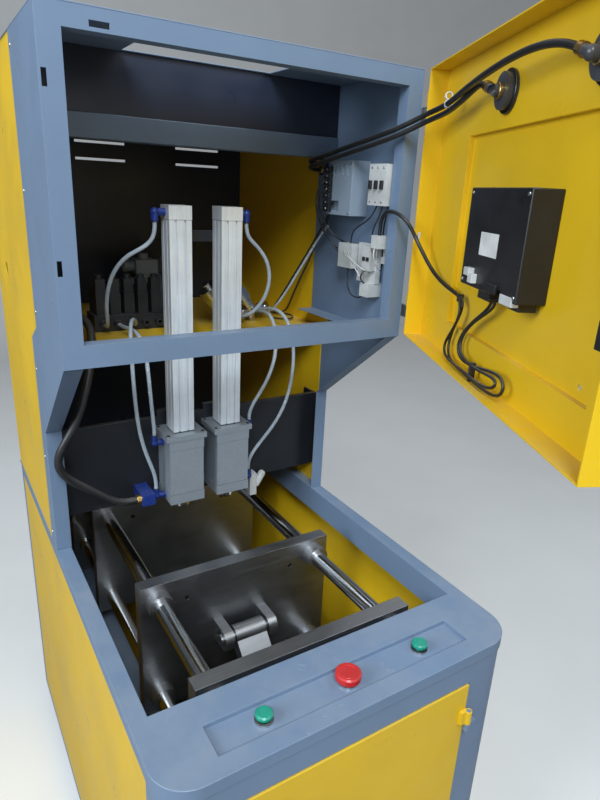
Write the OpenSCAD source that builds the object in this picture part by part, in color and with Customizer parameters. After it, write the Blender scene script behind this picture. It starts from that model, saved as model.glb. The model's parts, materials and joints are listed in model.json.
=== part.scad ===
// Two-cavity stretch blow moulding machine, hand fed, with its upper door open.
// Millimetres, +Z up, operator on the -Y side. The origin lies on the floor, midway
// between the four anchor holes of the foot plates.

/* [Machine] */
// Width over the side sheets
machine_w = 650; // [630:5:760]
// Depth from the front skirt to the rear panel
machine_d = 1120; // [1120:5:1300]
// Height of the table top above the floor
table_z = 800; // [796:2:840]
// Open height between the table and the underside of the head
throat_h = 450; // [440:5:560]
// Height of the head
head_h = 485; // [470:5:600]
// Setback of the head behind the front skirt
head_setback = 390; // [350:5:400]
// Setback of the column and of the cylinders behind the front skirt
column_setback = 630; // [620:5:640]
// Drop of the sloped edge between the head and the column
knee_drop = 190; // [150:5:240]
// Thickness of the cabinet sheet
sheet_t = 2; // [1.5:0.5:3]

/* [Base] */
// Radius of the two rounded front corners
corner_r = 60; // [40:5:80]
// Height of the cabinet floor above the ground
foot_h = 50; // [40:5:70]
// Thickness of the table plate
table_t = 3; // [2:0.5:5]
// Width of the table strips beside the well
rim_side = 29; // [20:1:34]
// Width of the table in front of the well
rim_front = 141; // [130:1:146]
// Depth of the well rims that are turned down
well_lip = 60; // [20:5:70]
// Height of the table edge that is turned down
table_lip = 22; // [15:1:30]
// Width of the recessed control strip
tray_w = 468; // [420:4:500]
// Front to back size of the recessed control strip
tray_d = 55; // [48:1:64]
// Depth of the recess
tray_deep = 8; // [4:1:14]
// Width of the lower front door
front_door_w = 444; // [400:4:480]
// Height of the lower front door
front_door_h = 630; // [560:5:650]
// Skirt above the lower front door
front_door_top = 64; // [50:2:80]
// Radius of the floor anchor holes
anchor_r = 7; // [5:0.5:9]

/* [Head] */
// Width of the stiles of the head frame
stile_w = 32; // [26:1:40]
// Width of the top rail of the head frame
rail_top_w = 30; // [26:1:40]
// Width of the bottom rail of the head frame
rail_bottom_w = 36; // [28:1:44]
// Depth behind the head's front of the blue plate that carries the electrics
electrics_d = 320; // [280:5:340]
// Depth of the rims turned back round the window
window_rim = 26; // [16:2:40]
// Width of the cut-out in the roof
roof_cut_w = 290; // [200:10:360]
// Front to back size of the cut-out in the roof
roof_cut_d = 90; // [60:5:100]
// Height of the cross beam
beam_h = 41; // [30:1:60]
// Height of the blanking sheet above the beam
partition_h = 102; // [80:2:140]
// Depth of the blue side sheets of the head
head_side_d = 225; // [205:5:232]
// Width of the blue side sheets of the column
column_side_d = 45; // [40:5:60]
// Width of the flange along the sloped edge and the column
flange_w = 30; // [22:1:40]

/* [Cylinders] */
// Distance between the two cavities
cavity_pitch = 108; // [100:2:124]
// Side of the square stretch cylinder profile
barrel_w = 46; // [42:1:50]
// Bore radius of the stretch cylinder
barrel_r = 16; // [14:0.5:18]
// Length of the stretch cylinder profile
barrel_l = 434; // [420:2:480]
// Height of the top cap of a stretch cylinder
cap_h = 26; // [20:1:34]
// Side of the square seal cylinder
block_w = 77; // [72:1:84]
// Height of the seal cylinder
block_h = 147; // [138:1:152]
// Height of its two end caps
block_cap = 22; // [18:1:26]
// Bore radius of the seal cylinder
block_r = 31.5; // [29:0.5:33]
// Height of the nozzle above the table when it is up
nozzle_gap = 40; // [30:1:44]
// Radius of the stretch rod
rod_r = 6; // [5:0.5:7]

/* [Clamp] */
// Half the gap between the platens when the clamp is shut
platen_shut = 100; // [90:1:102]
// Travel of each platen
platen_travel = 65; // [55:1:70]
// Width of the platens and end plates
platen_w = 430; // [400:5:440]
// Height of the moving platens
platen_h = 300; // [280:5:310]
// Thickness of the moving platens
platen_t = 28; // [24:1:34]
// Angle of the toggle links to the level when the clamp is shut
shut_angle = 12; // [8:1:14]
// Thickness of the end plates
end_t = 30; // [24:1:32]
// Height of the toggle line above the floor
toggle_z = 640; // [636:1:646]
// Length of a toggle link between its pins
link_l = 123; // [118:0.5:125]
// Radius of the toggle pins
pin_r = 12; // [10:0.5:14]
// Radius of the tie bars
tie_r = 16; // [13:0.5:18]
// Side of the square tubes of the inner frame
tube_w = 60; // [50:5:60]

/* [Doors] */
// Angle by which the upper door stands open
door_open = 64; // [40:2:90]
// Width of the upper door
door_w = 661; // [640:1:680]
// Depth of the upper door pan
door_deep = 36; // [28:1:45]
// Gap between the upper door and the head when it is shut
door_gap = 6; // [4:0.5:10]
// Radius of the hinge pins of both doors
hinge_r = 4; // [3:0.5:5]
// Depth by which the middle of the upper door is pressed outwards
press_deep = 9; // [5:1:12]

/* [Controls] */
// Radius of the green start buttons
start_r = 13.5; // [11:0.5:16]
// Radius of the red stop button
stop_r = 21; // [18:0.5:24]
// Distance from the stop button to each start button
start_reach = 150; // [100:5:190]
// Travel of the buttons
button_travel = 4; // [2:0.5:5]
// Width of the controller on the upper door
controller_w = 192; // [160:2:220]
// Height of the controller
controller_h = 136; // [110:2:150]
// Depth of the controller behind the door
controller_deep = 40; // [30:1:55]
// Radius of the case of the two air gauges
gauge_r = 24; // [20:1:28]

/* [Hidden] */
$fn = 40;

// Colours as painted
blue_grey = [0.44, 0.53, 0.64];
yellow = [0.90, 0.74, 0.06];
steel = [0.62, 0.63, 0.65];
dark_steel = [0.16, 0.17, 0.19];
bright = [0.80, 0.82, 0.84];
black = [0.06, 0.06, 0.07];

// Main planes
side_x = machine_w / 2;
front_y = -machine_d / 2;
back_y = machine_d / 2;
head_y = front_y + head_setback;
col_y = front_y + column_setback;
mould_y = col_y;
head_z = table_z + throat_h;
top_z = head_z + head_h;
knee_z = head_z - knee_drop;
head_side_y = head_y + head_side_d;
col_side_y = col_y + column_side_d;
lap = 12;
panel_x = side_x - sheet_t;
inner_x = panel_x - sheet_t;
seat_gap = 0.2;
run_gap = 0.05;
big = 2000;

// A box from its lowest to its highest corner
module box(lo, hi) {
    translate(lo) cube([hi[0] - lo[0], hi[1] - lo[1], hi[2] - lo[2]]);
}

module both_sides() {
    children();
    mirror([1, 0, 0]) children();
}

// A copy on each side of the parting line of the moulds
module rear_copy() {
    translate([0, mould_y, 0]) mirror([0, 1, 0]) translate([0, -mould_y, 0]) children();
}

module axis_x(y, z, r, half) {
    translate([-half, y, z]) rotate([0, 90, 0]) cylinder(r = r, h = 2 * half);
}

module axis_y(x, z, r, y0, y1) {
    translate([x, y0, z]) rotate([-90, 0, 0]) cylinder(r = r, h = y1 - y0);
}

// Plan of the base, set in by a distance, with rounded front corners
module plan(inset) {
    w = side_x - inset;
    f = front_y + inset;
    r = corner_r - inset;
    translate([-w, f + r]) square([2 * w, back_y - inset - f - r]);
    translate([-w + r, f]) square([2 * (w - r), r]);
    for (s = [-1, 1]) translate([s * (w - r), f + r]) circle(r, $fn = 64);
}

/* Base */
anchor_x = side_x - 45;
anchor_y = machine_d / 2 - 100;
foot_plate = [130, 80, 8];
foot_post_w = 50;
foot_post_in = 62;

module foot_plates() {
    color(dark_steel) for (sx = [-1, 1], sy = [-1, 1])
        difference() {
            union() {
                translate([sx * (anchor_x - 32) - foot_plate[0] / 2,
                    sy * anchor_y - foot_plate[1] / 2, 0]) cube(foot_plate);
                translate([sx * (anchor_x - foot_post_in) - foot_post_w / 2,
                    sy * anchor_y - foot_post_w / 2, 0]) cube([foot_post_w, foot_post_w, foot_h]);
            }
            translate([sx * anchor_x, sy * anchor_y, -1]) cylinder(r = anchor_r, h = foot_plate[2] + 2);
        }
}

base_in = sheet_t + seat_gap;
floor_t = 3;
table_under = table_z - table_t;
door_top_z = table_z - front_door_top;
door_base_z = door_top_z - front_door_h;
side_open_front = front_y + corner_r + 12;
side_open_back = back_y - 30;
side_open_low = foot_h + 20;
side_open_high = table_z - table_lip - 12;
door_clear = 2;

rim_deep = 14;

module base_cabinet() {
    color(blue_grey) union() {
        difference() {
            union() {
                translate([0, 0, foot_h]) linear_extrude(floor_t) plan(base_in);
                translate([0, 0, foot_h]) linear_extrude(table_under - foot_h) difference() {
                    plan(base_in);
                    plan(base_in + sheet_t);
                }
                box([-fd_x - sheet_t, front_y + base_in, door_base_z - sheet_t],
                    [fd_x + sheet_t, front_y + rim_deep, door_top_z + sheet_t]);
            }
            box([-fd_x, front_y - 1, door_base_z], [fd_x, front_y + corner_r / 2, door_top_z]);
            box([-side_x - 1, side_open_front, side_open_low], [side_x + 1, side_open_back, side_open_high]);
            box([-side_x + 40, back_y - 30, side_open_low], [side_x - 40, back_y + 1, table_under - 30]);
        }
        front_hinge_pins();
    }
}

module lower_side_panels() {
    depth = 14;
    x1 = side_x - base_in;
    color(yellow) both_sides() difference() {
        box([x1 - depth, side_open_front + seat_gap, side_open_low + seat_gap],
            [x1, side_open_back - seat_gap, side_open_high - seat_gap]);
        box([x1 - depth - 1, side_open_front + seat_gap + sheet_t, side_open_low + seat_gap + sheet_t],
            [x1 - sheet_t, side_open_back - seat_gap - sheet_t, side_open_high - seat_gap - sheet_t]);
    }
}

well_front = front_y + rim_front;
well_back = mould_y + 250;
well_x = side_x - rim_side;
tray_y = front_y + 60;

module table_top() {
    color(blue_grey) union() {
        difference() {
            translate([0, 0, table_z - table_lip]) linear_extrude(table_lip) difference() {
                plan(0);
                plan(sheet_t);
            }
            box([-side_x - 1, col_y + 1, table_z - table_lip - 1], [side_x + 1, back_y + 1, table_under]);
        }
        difference() {
            translate([0, 0, table_under]) linear_extrude(table_t) plan(0);
            box([-well_x, well_front, table_under - 1], [well_x, well_back, table_z + 1]);
            box([-tray_w / 2, tray_y - tray_d / 2, table_under - 1],
                [tray_w / 2, tray_y + tray_d / 2, table_z + 1]);
        }
        difference() {
            box([-well_x - sheet_t, well_front - sheet_t, table_z - well_lip],
                [well_x + sheet_t, well_back + sheet_t, table_under]);
            box([-well_x, well_front, table_z - well_lip - 1], [well_x, well_back + sheet_t + 1, table_z]);
        }
    }
}

button_hole_r = 11.2;

module control_tray() {
    low = table_z - tray_deep - sheet_t;
    color(blue_grey) difference() {
        box([-tray_w / 2 - sheet_t, tray_y - tray_d / 2 - sheet_t, low],
            [tray_w / 2 + sheet_t, tray_y + tray_d / 2 + sheet_t, table_under]);
        box([-tray_w / 2, tray_y - tray_d / 2, low + sheet_t], [tray_w / 2, tray_y + tray_d / 2, table_z]);
        for (x = [-start_reach, 0, start_reach])
            translate([x, tray_y, low - 1]) cylinder(r = button_hole_r, h = sheet_t + 2);
    }
}

/* Inner frame of square tubes under the clamp */
bracket_reach = 35;
lug_reach = 36;
lug_shut = platen_shut + platen_t + lug_reach;
pivot_reach = lug_shut + 2 * link_l * cos(shut_angle);
end_reach = pivot_reach + bracket_reach;
rail_x = platen_w / 2 - tube_w / 2;
end_low = 440;
post_y = end_reach - 10;

module tube(from, size, wall = 4) {
    long = size[0] >= size[1] && size[0] >= size[2] ? 0 : size[1] >= size[2] ? 1 : 2;
    grow = [for (i = [0:2]) i == long ? 1 : -wall];
    difference() {
        translate(from) cube(size);
        translate([for (i = [0:2]) from[i] - grow[i]]) cube([for (i = [0:2]) size[i] + 2 * grow[i]]);
    }
}

seat_reach = tube_w / 2 + 30;

module inner_frame() {
    low = foot_h + floor_t;
    span = 2 * (end_reach + end_t);
    color(blue_grey) {
        for (s = [-1, 1]) {
            tube([s * rail_x - tube_w / 2, mould_y - span / 2, end_low - tube_w], [tube_w, span, tube_w]);
            tube([s * rail_x - tube_w / 2, mould_y - span / 2, low], [tube_w, span, tube_w]);
            for (y = [-post_y, 0, post_y])
                tube([s * rail_x - tube_w / 2, mould_y + y - tube_w / 2, low + tube_w],
                    [tube_w, tube_w, end_low - low - 2 * tube_w]);
        }
        for (y = [-seat_reach, seat_reach])
            tube([-rail_x + tube_w / 2, mould_y + y - tube_w / 2, low], [2 * rail_x - tube_w, tube_w, tube_w]);
    }
}

/* Column and head */
module side_profile() {
    step_z = head_z + 20;
    polygon([[col_y, table_z], [col_y, knee_z], [head_y + sheet_t, head_z], [head_y + sheet_t, top_z - sheet_t],
        [head_side_y, top_z - sheet_t], [head_side_y, step_z], [col_side_y, step_z - 30], [col_side_y, table_z]]);
}

// Turns a profile drawn as (Y, Z) into a sheet standing from x0 to x1
module upright(x0, x1) {
    translate([x0, 0, 0]) rotate([90, 0, 90]) linear_extrude(x1 - x0) children();
}

lip_w = 44;
plate_x = inner_x - sheet_t;

module side_frame() {
    color(blue_grey) union() {
        upright(panel_x, side_x) side_profile();
        upright(side_x - flange_w, side_x - sheet_t) intersection() {
            difference() {
                side_profile();
                translate([sheet_t, sheet_t * 0.6]) side_profile();
                translate([col_y + sheet_t, table_z]) square([big, sheet_t]);
            }
            translate([head_y, table_z]) square([big, throat_h - sheet_t]);
        }
        box([panel_x - lip_w, head_y + sheet_t, head_z], [panel_x, head_side_y - lap - 1, head_z + sheet_t]);
    }
}

// Blue plate inside the right wall of the head, with a lip at its foot
module electrics_plate() {
    front = head_y + window_rim + 2;
    color(blue_grey) union() {
        box([plate_x, front, head_z], [panel_x, head_side_y - lap - 1, top_z - sheet_t]);
        box([plate_x, front, head_z], [inner_x, head_y + electrics_d, top_z - sheet_t]);
        box([panel_x - lip_w, front, head_z], [inner_x, head_y + electrics_d, head_z + sheet_t]);
    }
}

module side_frame_right() {
    side_frame();
    electrics_plate();
}

module side_frame_left() {
    mirror([1, 0, 0]) side_frame();
}

// Radius of the hole in the left panel through which the air line comes in
pass_r = 15;

module side_panels() {
    color(yellow) difference() {
        both_sides() upright(inner_x, panel_x)
            polygon([[col_side_y - lap, table_z], [col_side_y - lap, head_z - lap - 20],
                [head_side_y - lap, head_z + 20 - lap], [head_side_y - lap, top_z - sheet_t],
                [back_y - sheet_t, top_z - sheet_t], [back_y - sheet_t, table_z]]);
        translate([-side_x, service_y, inlet_z]) rotate([0, 90, 0])
            cylinder(r = pass_r, h = side_x - inner_x + 1);
    }
}

louvre_x = [-65, 192];
louvre_l = 122;
louvre_z = 318;
louvre_step = 40;
louvre_r = 8;
louvre_t = 1.5;
louvre_slot = 6;
gland_r = 11;
gland_l = 14;

louvre_rows = [for (i = [0:3]) head_z + louvre_z + i * louvre_step];

// Quarter-round hood over one louvre slot, open at its foot
module louvre() {
    difference() {
        translate([-louvre_l / 2, 0, 0]) rotate([0, 90, 0]) cylinder(r = louvre_r, h = louvre_l);
        translate([-louvre_l / 2 + louvre_t, 0, 0]) rotate([0, 90, 0])
            cylinder(r = louvre_r - louvre_t, h = louvre_l - 2 * louvre_t);
        box([-louvre_l, -louvre_r - 1, -louvre_r - 1], [louvre_l, 0, louvre_r + 1]);
        box([-louvre_l, -1, -louvre_r - 1], [louvre_l, louvre_r + 1, 0]);
    }
}

module rear_panels() {
    color(yellow) {
        difference() {
            box([-panel_x, back_y - sheet_t, table_z], [panel_x, back_y, top_z - sheet_t]);
            for (x = louvre_x, z = louvre_rows) box([x - louvre_l / 2, back_y - sheet_t - 1, z],
                [x + louvre_l / 2, back_y + 1, z + louvre_slot]);
        }
        for (x = louvre_x, z = louvre_rows) translate([x, back_y, z + louvre_slot]) louvre();
        difference() {
            union() {
                box([-side_x + 40 + seat_gap, back_y - base_in - sheet_t, side_open_low + seat_gap],
                    [side_x - 40 - seat_gap, back_y - base_in, table_under - 30 - seat_gap]);
                axis_y(side_x - 100, foot_h + 90, gland_r + 4, back_y - base_in - gland_l, back_y - base_in);
            }
            axis_y(side_x - 100, foot_h + 90, gland_r - 3, back_y - base_in - 2 * gland_l, back_y + 1);
        }
    }
}

slot_h = 22;

module head_front_frame() {
    win_x = side_x - stile_w;
    win_low = head_z + rail_bottom_w;
    win_high = top_z - rail_top_w;
    color(blue_grey) difference() {
        union() {
            box([-side_x, head_y, head_z], [side_x, head_y + sheet_t, top_z - sheet_t]);
            box([-win_x - sheet_t, head_y, win_low - sheet_t],
                [win_x + sheet_t, head_y + window_rim, win_high + sheet_t]);
        }
        box([-win_x, head_y - 1, win_low], [win_x, head_y + window_rim + 1, win_high]);
        box([-side_x + 67, head_y - 1, top_z - 25], [-side_x + 94, head_y + sheet_t + 1, top_z - 17]);
        for (z = latch_z) box([-side_x + 3, head_y - 1, head_z + z - slot_h / 2],
            [-side_x + 10, head_y + sheet_t + 1, head_z + z + slot_h / 2]);
    }
}

roof_cut_y = head_side_y - 71;

module head_roof() {
    color(blue_grey) difference() {
        box([-side_x, head_y, top_z - sheet_t], [side_x, back_y, top_z]);
        box([-roof_cut_w / 2, roof_cut_y, top_z - sheet_t - 1],
            [roof_cut_w / 2, roof_cut_y + roof_cut_d, top_z + 1]);
    }
}

beam_low = top_z - sheet_t - partition_h - beam_h;
beam_y = roof_cut_y + roof_cut_d + 4;

// Channel across the head with the blanking sheet that stands on it
module cross_beam() {
    t = 3;
    depth = 40;
    color(blue_grey) union() {
        difference() {
            box([-inner_x, beam_y, beam_low], [plate_x, beam_y + depth, beam_low + beam_h]);
            box([-inner_x - 1, beam_y + t, beam_low + t],
                [inner_x + 1, beam_y + depth + 1, beam_low + beam_h - t]);
        }
        box([-inner_x, beam_y + 4, beam_low + beam_h], [plate_x, beam_y + 4 + sheet_t, top_z - sheet_t]);
        box([-inner_x, beam_y + 4, top_z - 2 * sheet_t], [plate_x, beam_y + 24, top_z - sheet_t]);
    }
}

shelf_z = head_z - 35;
shelf_left = -200;
shelf_y = mould_y + barrel_w / 2 + 8;

module valve_shelf() {
    color(yellow) union() {
        box([shelf_left, shelf_y, shelf_z - sheet_t], [inner_x, back_y - sheet_t, shelf_z]);
        box([shelf_left, shelf_y, shelf_z - 26], [inner_x, shelf_y + sheet_t, shelf_z]);
        box([shelf_left, shelf_y, shelf_z - 26], [shelf_left + sheet_t, back_y - sheet_t, shelf_z]);
    }
}

/* Stretch and seal cylinders */
block_low = table_z + nozzle_gap + 25;
block_high = block_low + block_h;
adapter_t = 12;
barrel_low = block_high + adapter_t;
barrel_high = barrel_low + barrel_l;
plate_y = mould_y + block_w / 2;
plate_t = 12;
plate_low = block_low - 14;
piston_h = 16;
seal_piston_h = 20;
nozzle_r = 16;
bolt_r = 4;

// Puts its children on the left (-1) or right (1) cavity line
module at_cavity(s) {
    translate([s * cavity_pitch / 2, mould_y, 0]) children();
}

module cylinder_mount_plate() {
    angle = 40;
    color(dark_steel) union() {
        box([-inner_x, plate_y, plate_low], [inner_x, plate_y + plate_t, barrel_low + 20]);
        both_sides() box([inner_x - 6, plate_y + plate_t, plate_low],
            [inner_x, plate_y + plate_t + angle, barrel_low + 20]);
        for (s = [-1, 1]) at_cavity(s)
            box([-block_w / 2, block_w / 2, barrel_low], [block_w / 2, block_w / 2 + plate_t, barrel_low + 34]);
    }
}

module cylinder_adapters() {
    color(steel) for (s = [-1, 1]) at_cavity(s) difference() {
        box([-block_w / 2 - 6, -block_w / 2 - 2, block_high], [block_w / 2 + 6, block_w / 2, barrel_low]);
        translate([0, 0, block_high - 1]) cylinder(r = rod_r + run_gap, h = adapter_t + 2);
        for (x = [-1, 1], y = [-1, 1]) translate([x * (block_w / 2), y * (block_w / 2 - 8), barrel_low - 3])
            cylinder(r = bolt_r, h = 4);
    }
}

module t_slots(w, n = 2) {
    for (a = [0:90:270], i = [0:n - 1]) rotate(a) translate([w / 2, (i - (n - 1) / 2) * w * 0.42]) {
        translate([-1.6, -1.6]) square([2.6, 3.2]);
        translate([-4, -2.8]) square([2.5, 5.6]);
    }
}

module barrel(s) {
    color(bright) at_cavity(s) {
        translate([0, 0, barrel_low]) linear_extrude(barrel_l) difference() {
            square(barrel_w - 1, center = true);
            circle(barrel_r);
            t_slots(barrel_w - 1);
        }
        translate([0, 0, barrel_high]) difference() {
            translate([-barrel_w / 2, -barrel_w / 2, 0]) cube([barrel_w, barrel_w, cap_h]);
            for (x = [-1, 1], y = [-1, 1]) translate([x * barrel_w * 0.36, y * barrel_w * 0.36, cap_h - 8])
                cylinder(r = 3.2, h = 9);
            translate([s * (barrel_w / 2 - 12), 0, cap_h / 2]) rotate([0, s * 90, 0]) cylinder(r = 5, h = 13);
        }
    }
}

module barrel_left() {
    barrel(-1);
}

module barrel_right() {
    barrel(1);
}

module barrel_bracket() {
    low = barrel_high - 44;
    y0 = mould_y + barrel_w / 2;
    half = cavity_pitch / 2 + barrel_w / 2;
    color(dark_steel) union() {
        box([-half, y0, low], [half, y0 + 5, low + 22]);
        box([-half, y0, low], [half, y0 + 22, low + 4]);
        for (s = [-1, 1]) box([s * (half - 8) - 4, y0 + 5, low], [s * (half - 8) + 4, y0 + 22, low + 22]);
    }
}

module seal_block(s) {
    color(steel) at_cavity(s) difference() {
        union() {
            translate([-block_w / 2, -block_w / 2, block_low]) cube([block_w, block_w, block_cap]);
            translate([-block_w / 2 + 1, -block_w / 2 + 1, block_low + block_cap])
                cube([block_w - 2, block_w - 2, block_h - 2 * block_cap]);
            translate([-block_w / 2, -block_w / 2, block_high - block_cap]) cube([block_w, block_w, block_cap]);
        }
        translate([0, 0, block_low + block_cap]) cylinder(r = block_r, h = block_h - 2 * block_cap);
        translate([0, 0, block_low - 1]) cylinder(r = nozzle_r + run_gap, h = block_cap + 2);
        translate([0, 0, block_high - block_cap - 1]) cylinder(r = rod_r + run_gap, h = block_cap + 2);
        for (x = [-1, 1], y = [-1, 1]) translate([x * (block_w / 2 - 9), y * (block_w / 2 - 9), block_low - 1])
            cylinder(r = bolt_r, h = 7);
        for (z = [block_low + block_cap / 2, block_high - block_cap / 2])
            translate([s * (block_w / 2 - 10), 0, z]) rotate([0, s * 90, 0]) cylinder(r = 5, h = 11);
    }
}

module seal_block_left() {
    seal_block(-1);
}

module seal_block_right() {
    seal_block(1);
}

// Hollow seal piston and nozzle, a turned part
module seal_nozzle(s) {
    top = block_high - block_cap - 1;
    low = table_z + nozzle_gap;
    bore = rod_r + 1.5;
    color(bright) at_cavity(s) rotate_extrude($fn = 64) polygon([[bore, low], [13, low], [17, low + 5],
        [17, low + 14], [22, low + 14], [22, block_low - 2], [nozzle_r, block_low - 2],
        [nozzle_r, top - seal_piston_h], [block_r - run_gap, top - seal_piston_h], [block_r - run_gap, top],
        [bore, top]]);
}

module seal_nozzle_left() {
    seal_nozzle(-1);
}

module seal_nozzle_right() {
    seal_nozzle(1);
}

module stretch_rod(s) {
    top = barrel_high - 2;
    tip = table_z + nozzle_gap + 6;
    color(bright) at_cavity(s) rotate_extrude($fn = 48) polygon(concat([[0, tip - rod_r]],
        [for (a = [15:15:90]) [rod_r * sin(a), tip - rod_r * cos(a)]],
        [[rod_r, top - piston_h], [barrel_r - run_gap, top - piston_h], [barrel_r - run_gap, top], [0, top]]));
}

module stretch_rod_left() {
    stretch_rod(-1);
}

module stretch_rod_right() {
    stretch_rod(1);
}

/* Air gear on the shelf and beside the cylinders */
valve_w = 22;
valve_d = 62;
valve_h = 46;
pilot_h = 30;
knob_r = 7;
knob_h = 8;
valve_pitch = 30;
valve_n = 5;
bank_in = 14;
bank_y = shelf_y + 110;
bank_d = 70;
bank_h = 34;
bank_w = (valve_n - 1) * valve_pitch + 36;
bank_port_r = 8;
bank_port_l = 14;
bank_x = [for (i = [0:valve_n - 1]) shelf_left + bank_in + 18 + i * valve_pitch];
bank_port_z = shelf_z + bank_h / 2;

module valve() {
    union() {
        box([-valve_w / 2, -valve_w, 0], [valve_w / 2, valve_d - valve_w, valve_h]);
        box([-valve_w / 2 + 1, 2 - valve_w, valve_h], [valve_w / 2 - 1, 4, valve_h + pilot_h]);
        translate([0, -knob_h, valve_h + pilot_h]) cylinder(r = knob_r, h = knob_h);
        box([3 - valve_w / 2, 14, valve_h], [valve_w / 2 - 3, valve_d - valve_w - 4, valve_h + 12]);
    }
}

module valve_bank() {
    x0 = shelf_left + bank_in;
    color(dark_steel) difference() {
        union() {
            box([x0, bank_y, shelf_z], [x0 + bank_w, bank_y + bank_d, shelf_z + bank_h]);
            for (x = bank_x) translate([x, bank_y + 30, shelf_z + bank_h]) valve();
            for (x = bank_x) axis_y(x, bank_port_z, bank_port_r, bank_y - bank_port_l, bank_y);
        }
        for (x = bank_x) axis_y(x, bank_port_z, bank_port_r / 2, bank_y - bank_port_l - 1, bank_y + 20);
    }
}

service_x = 20;
service_y = shelf_y + 300;
bowl_x = 36;
bowl_r = 21;
bowl_low = 20;
body_w = 52;
body_h = 34;
body_z = 96;
inlet_r = 8.5;
inlet_l = 22;
inlet_z = shelf_z + body_z + body_h / 2;

module air_service_unit() {
    bowl_h = body_z - bowl_low;
    half = bowl_x + body_w / 2 + 10;
    face_x = -half - 14;
    color(steel) translate([service_x, service_y, shelf_z]) difference() {
        union() {
            for (x = [-bowl_x, bowl_x]) {
                box([x - body_w / 2, -body_w / 2, body_z], [x + body_w / 2, body_w / 2, body_z + body_h]);
                translate([x, 0, bowl_low]) cylinder(r = bowl_r, h = bowl_h);
                translate([x, 0, bowl_low / 2]) cylinder(r1 = bowl_r - 7, r2 = bowl_r, h = bowl_low / 2);
            }
            translate([bowl_x, 0, body_z + body_h]) cylinder(r = bowl_r - 2, h = body_h);
            translate([-bowl_x, 0, body_z + body_h]) cylinder(r = 12, h = 14);
            box([-half, body_w / 2, 0], [half, body_w / 2 + 6, body_z + body_h - 4]);
            box([-half, -10, 0], [half, body_w / 2 + 6, 4]);
            translate([face_x, 0, body_z + body_h / 2]) rotate([0, 90, 0]) cylinder(r = inlet_r + 4.5, h = 30);
        }
        translate([face_x - 1, 0, body_z + body_h / 2]) rotate([0, 90, 0]) cylinder(r = inlet_r, h = inlet_l + 1);
    }
}

// Two right-angle seat valves for the blowing air
seat_valve_r = 11;
seat_valve_z = 30;
seat_valve_tilt = 40;
seat_head_r = 25;

module seat_valve() {
    union() {
        cylinder(r = seat_valve_r + 4, h = 8, $fn = 6);
        translate([0, 0, 8]) cylinder(r = seat_valve_r, h = seat_valve_z - 8);
        translate([0, 0, seat_valve_z]) {
            sphere(seat_valve_r + 3);
            rotate([0, 90, 0]) cylinder(r = seat_valve_r, h = 34);
            translate([34, 0, 0]) rotate([0, 90, 0]) cylinder(r = seat_valve_r + 3, h = 10, $fn = 6);
            rotate([90, 0, 0]) cylinder(r = 7, h = 22);
            rotate([0, -seat_valve_tilt, 0]) {
                cylinder(r = seat_valve_r + 6, h = 34);
                translate([0, 0, 34]) cylinder(r = seat_head_r, h = 46);
                translate([0, 0, 80]) cylinder(r = 9, h = 10);
            }
        }
    }
}

module blow_valves() {
    color(steel) for (i = [0, 1]) translate([110 + i * 78, shelf_y + 80 + i * 40, shelf_z]) seat_valve();
}

// Porous exhaust silencer screwed into a small block on the mounting plate
sil_x = cavity_pitch / 2 + block_w / 2 + 32;
sil_r = 9;
sil_l = 34;
sil_stem = 14;

module silencer() {
    low = block_low - 52;
    color([0.86, 0.86, 0.82]) union() {
        box([sil_x, plate_y - 26, low], [sil_x + 18, plate_y, block_low + 4]);
        translate([sil_x + 14, plate_y - 13, low + 8]) rotate([0, 32, 0]) union() {
            cylinder(r = 6, h = sil_stem);
            translate([0, 0, sil_stem]) cylinder(r = sil_r, h = sil_l);
            translate([0, 0, sil_stem + sil_l]) cylinder(r1 = sil_r, r2 = 5, h = 5);
        }
    }
}

// Elbow fitting: a stem along one direction and a collar turned up or down
module elbow(p, s, up) {
    translate(p) union() {
        rotate([0, s * 90, 0]) cylinder(r = 7, h = 14);
        translate([s * 20, 0, 0]) sphere(8);
        rotate([0, s * 90, 0]) cylinder(r = 5.5, h = 20);
        translate([s * 20, 0, 0]) rotate([up > 0 ? 0 : 180, 0, 0]) cylinder(r = 7, h = 16);
    }
}

cap_port_z = barrel_high + cap_h / 2;
low_port_z = block_low + block_cap / 2;
high_port_z = block_high - block_cap / 2;
port_x = cavity_pitch / 2 + block_w / 2;
top_port_x = cavity_pitch / 2 + barrel_w / 2;

union_z = 1572;

module push_fittings() {
    color([0.16, 0.26, 0.52]) for (s = [-1, 1]) {
        elbow([s * top_port_x, mould_y, cap_port_z], s, -1);
        elbow([s * port_x, mould_y, high_port_z], s, 1);
        elbow([s * port_x, mould_y, low_port_z], s, 1);
    }
    color(steel) box([plate_x - 21, 90, union_z - 16], [plate_x, 110, union_z + 16]);
    color(steel) box([-150, 46, block_low + 4], [-122, plate_y, block_low + 28]);
    color(steel) box([-inner_x, 176, head_z], [-inner_x + 24, 204, head_z + 26]);
}

/* Tubes, hoses and cables */
function unit(v) = v / norm(v);
function tangent(p, i) = unit(p[min(i + 1, len(p) - 1)] - p[max(i - 1, 0)]);
function side_of(t) = unit(cross(t, abs(t[2]) > 0.9 ? [0, 1, 0] : [0, 0, 1]));
function carried(v, t) = unit(v - t * (v * t));
function frames(p, i, v) = i >= len(p) ? [] :
    let (n = carried(v, tangent(p, i))) concat([n], frames(p, i + 1, n));
// Points of a uniform cubic B-spline that starts and ends on the route's own ends
function smooth(p) = [for (i = [0:len(p) - 1]) i == 0 || i == len(p) - 1 ? p[i] :
    (p[i - 1] + 4 * p[i] + p[i + 1]) / 6];

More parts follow.
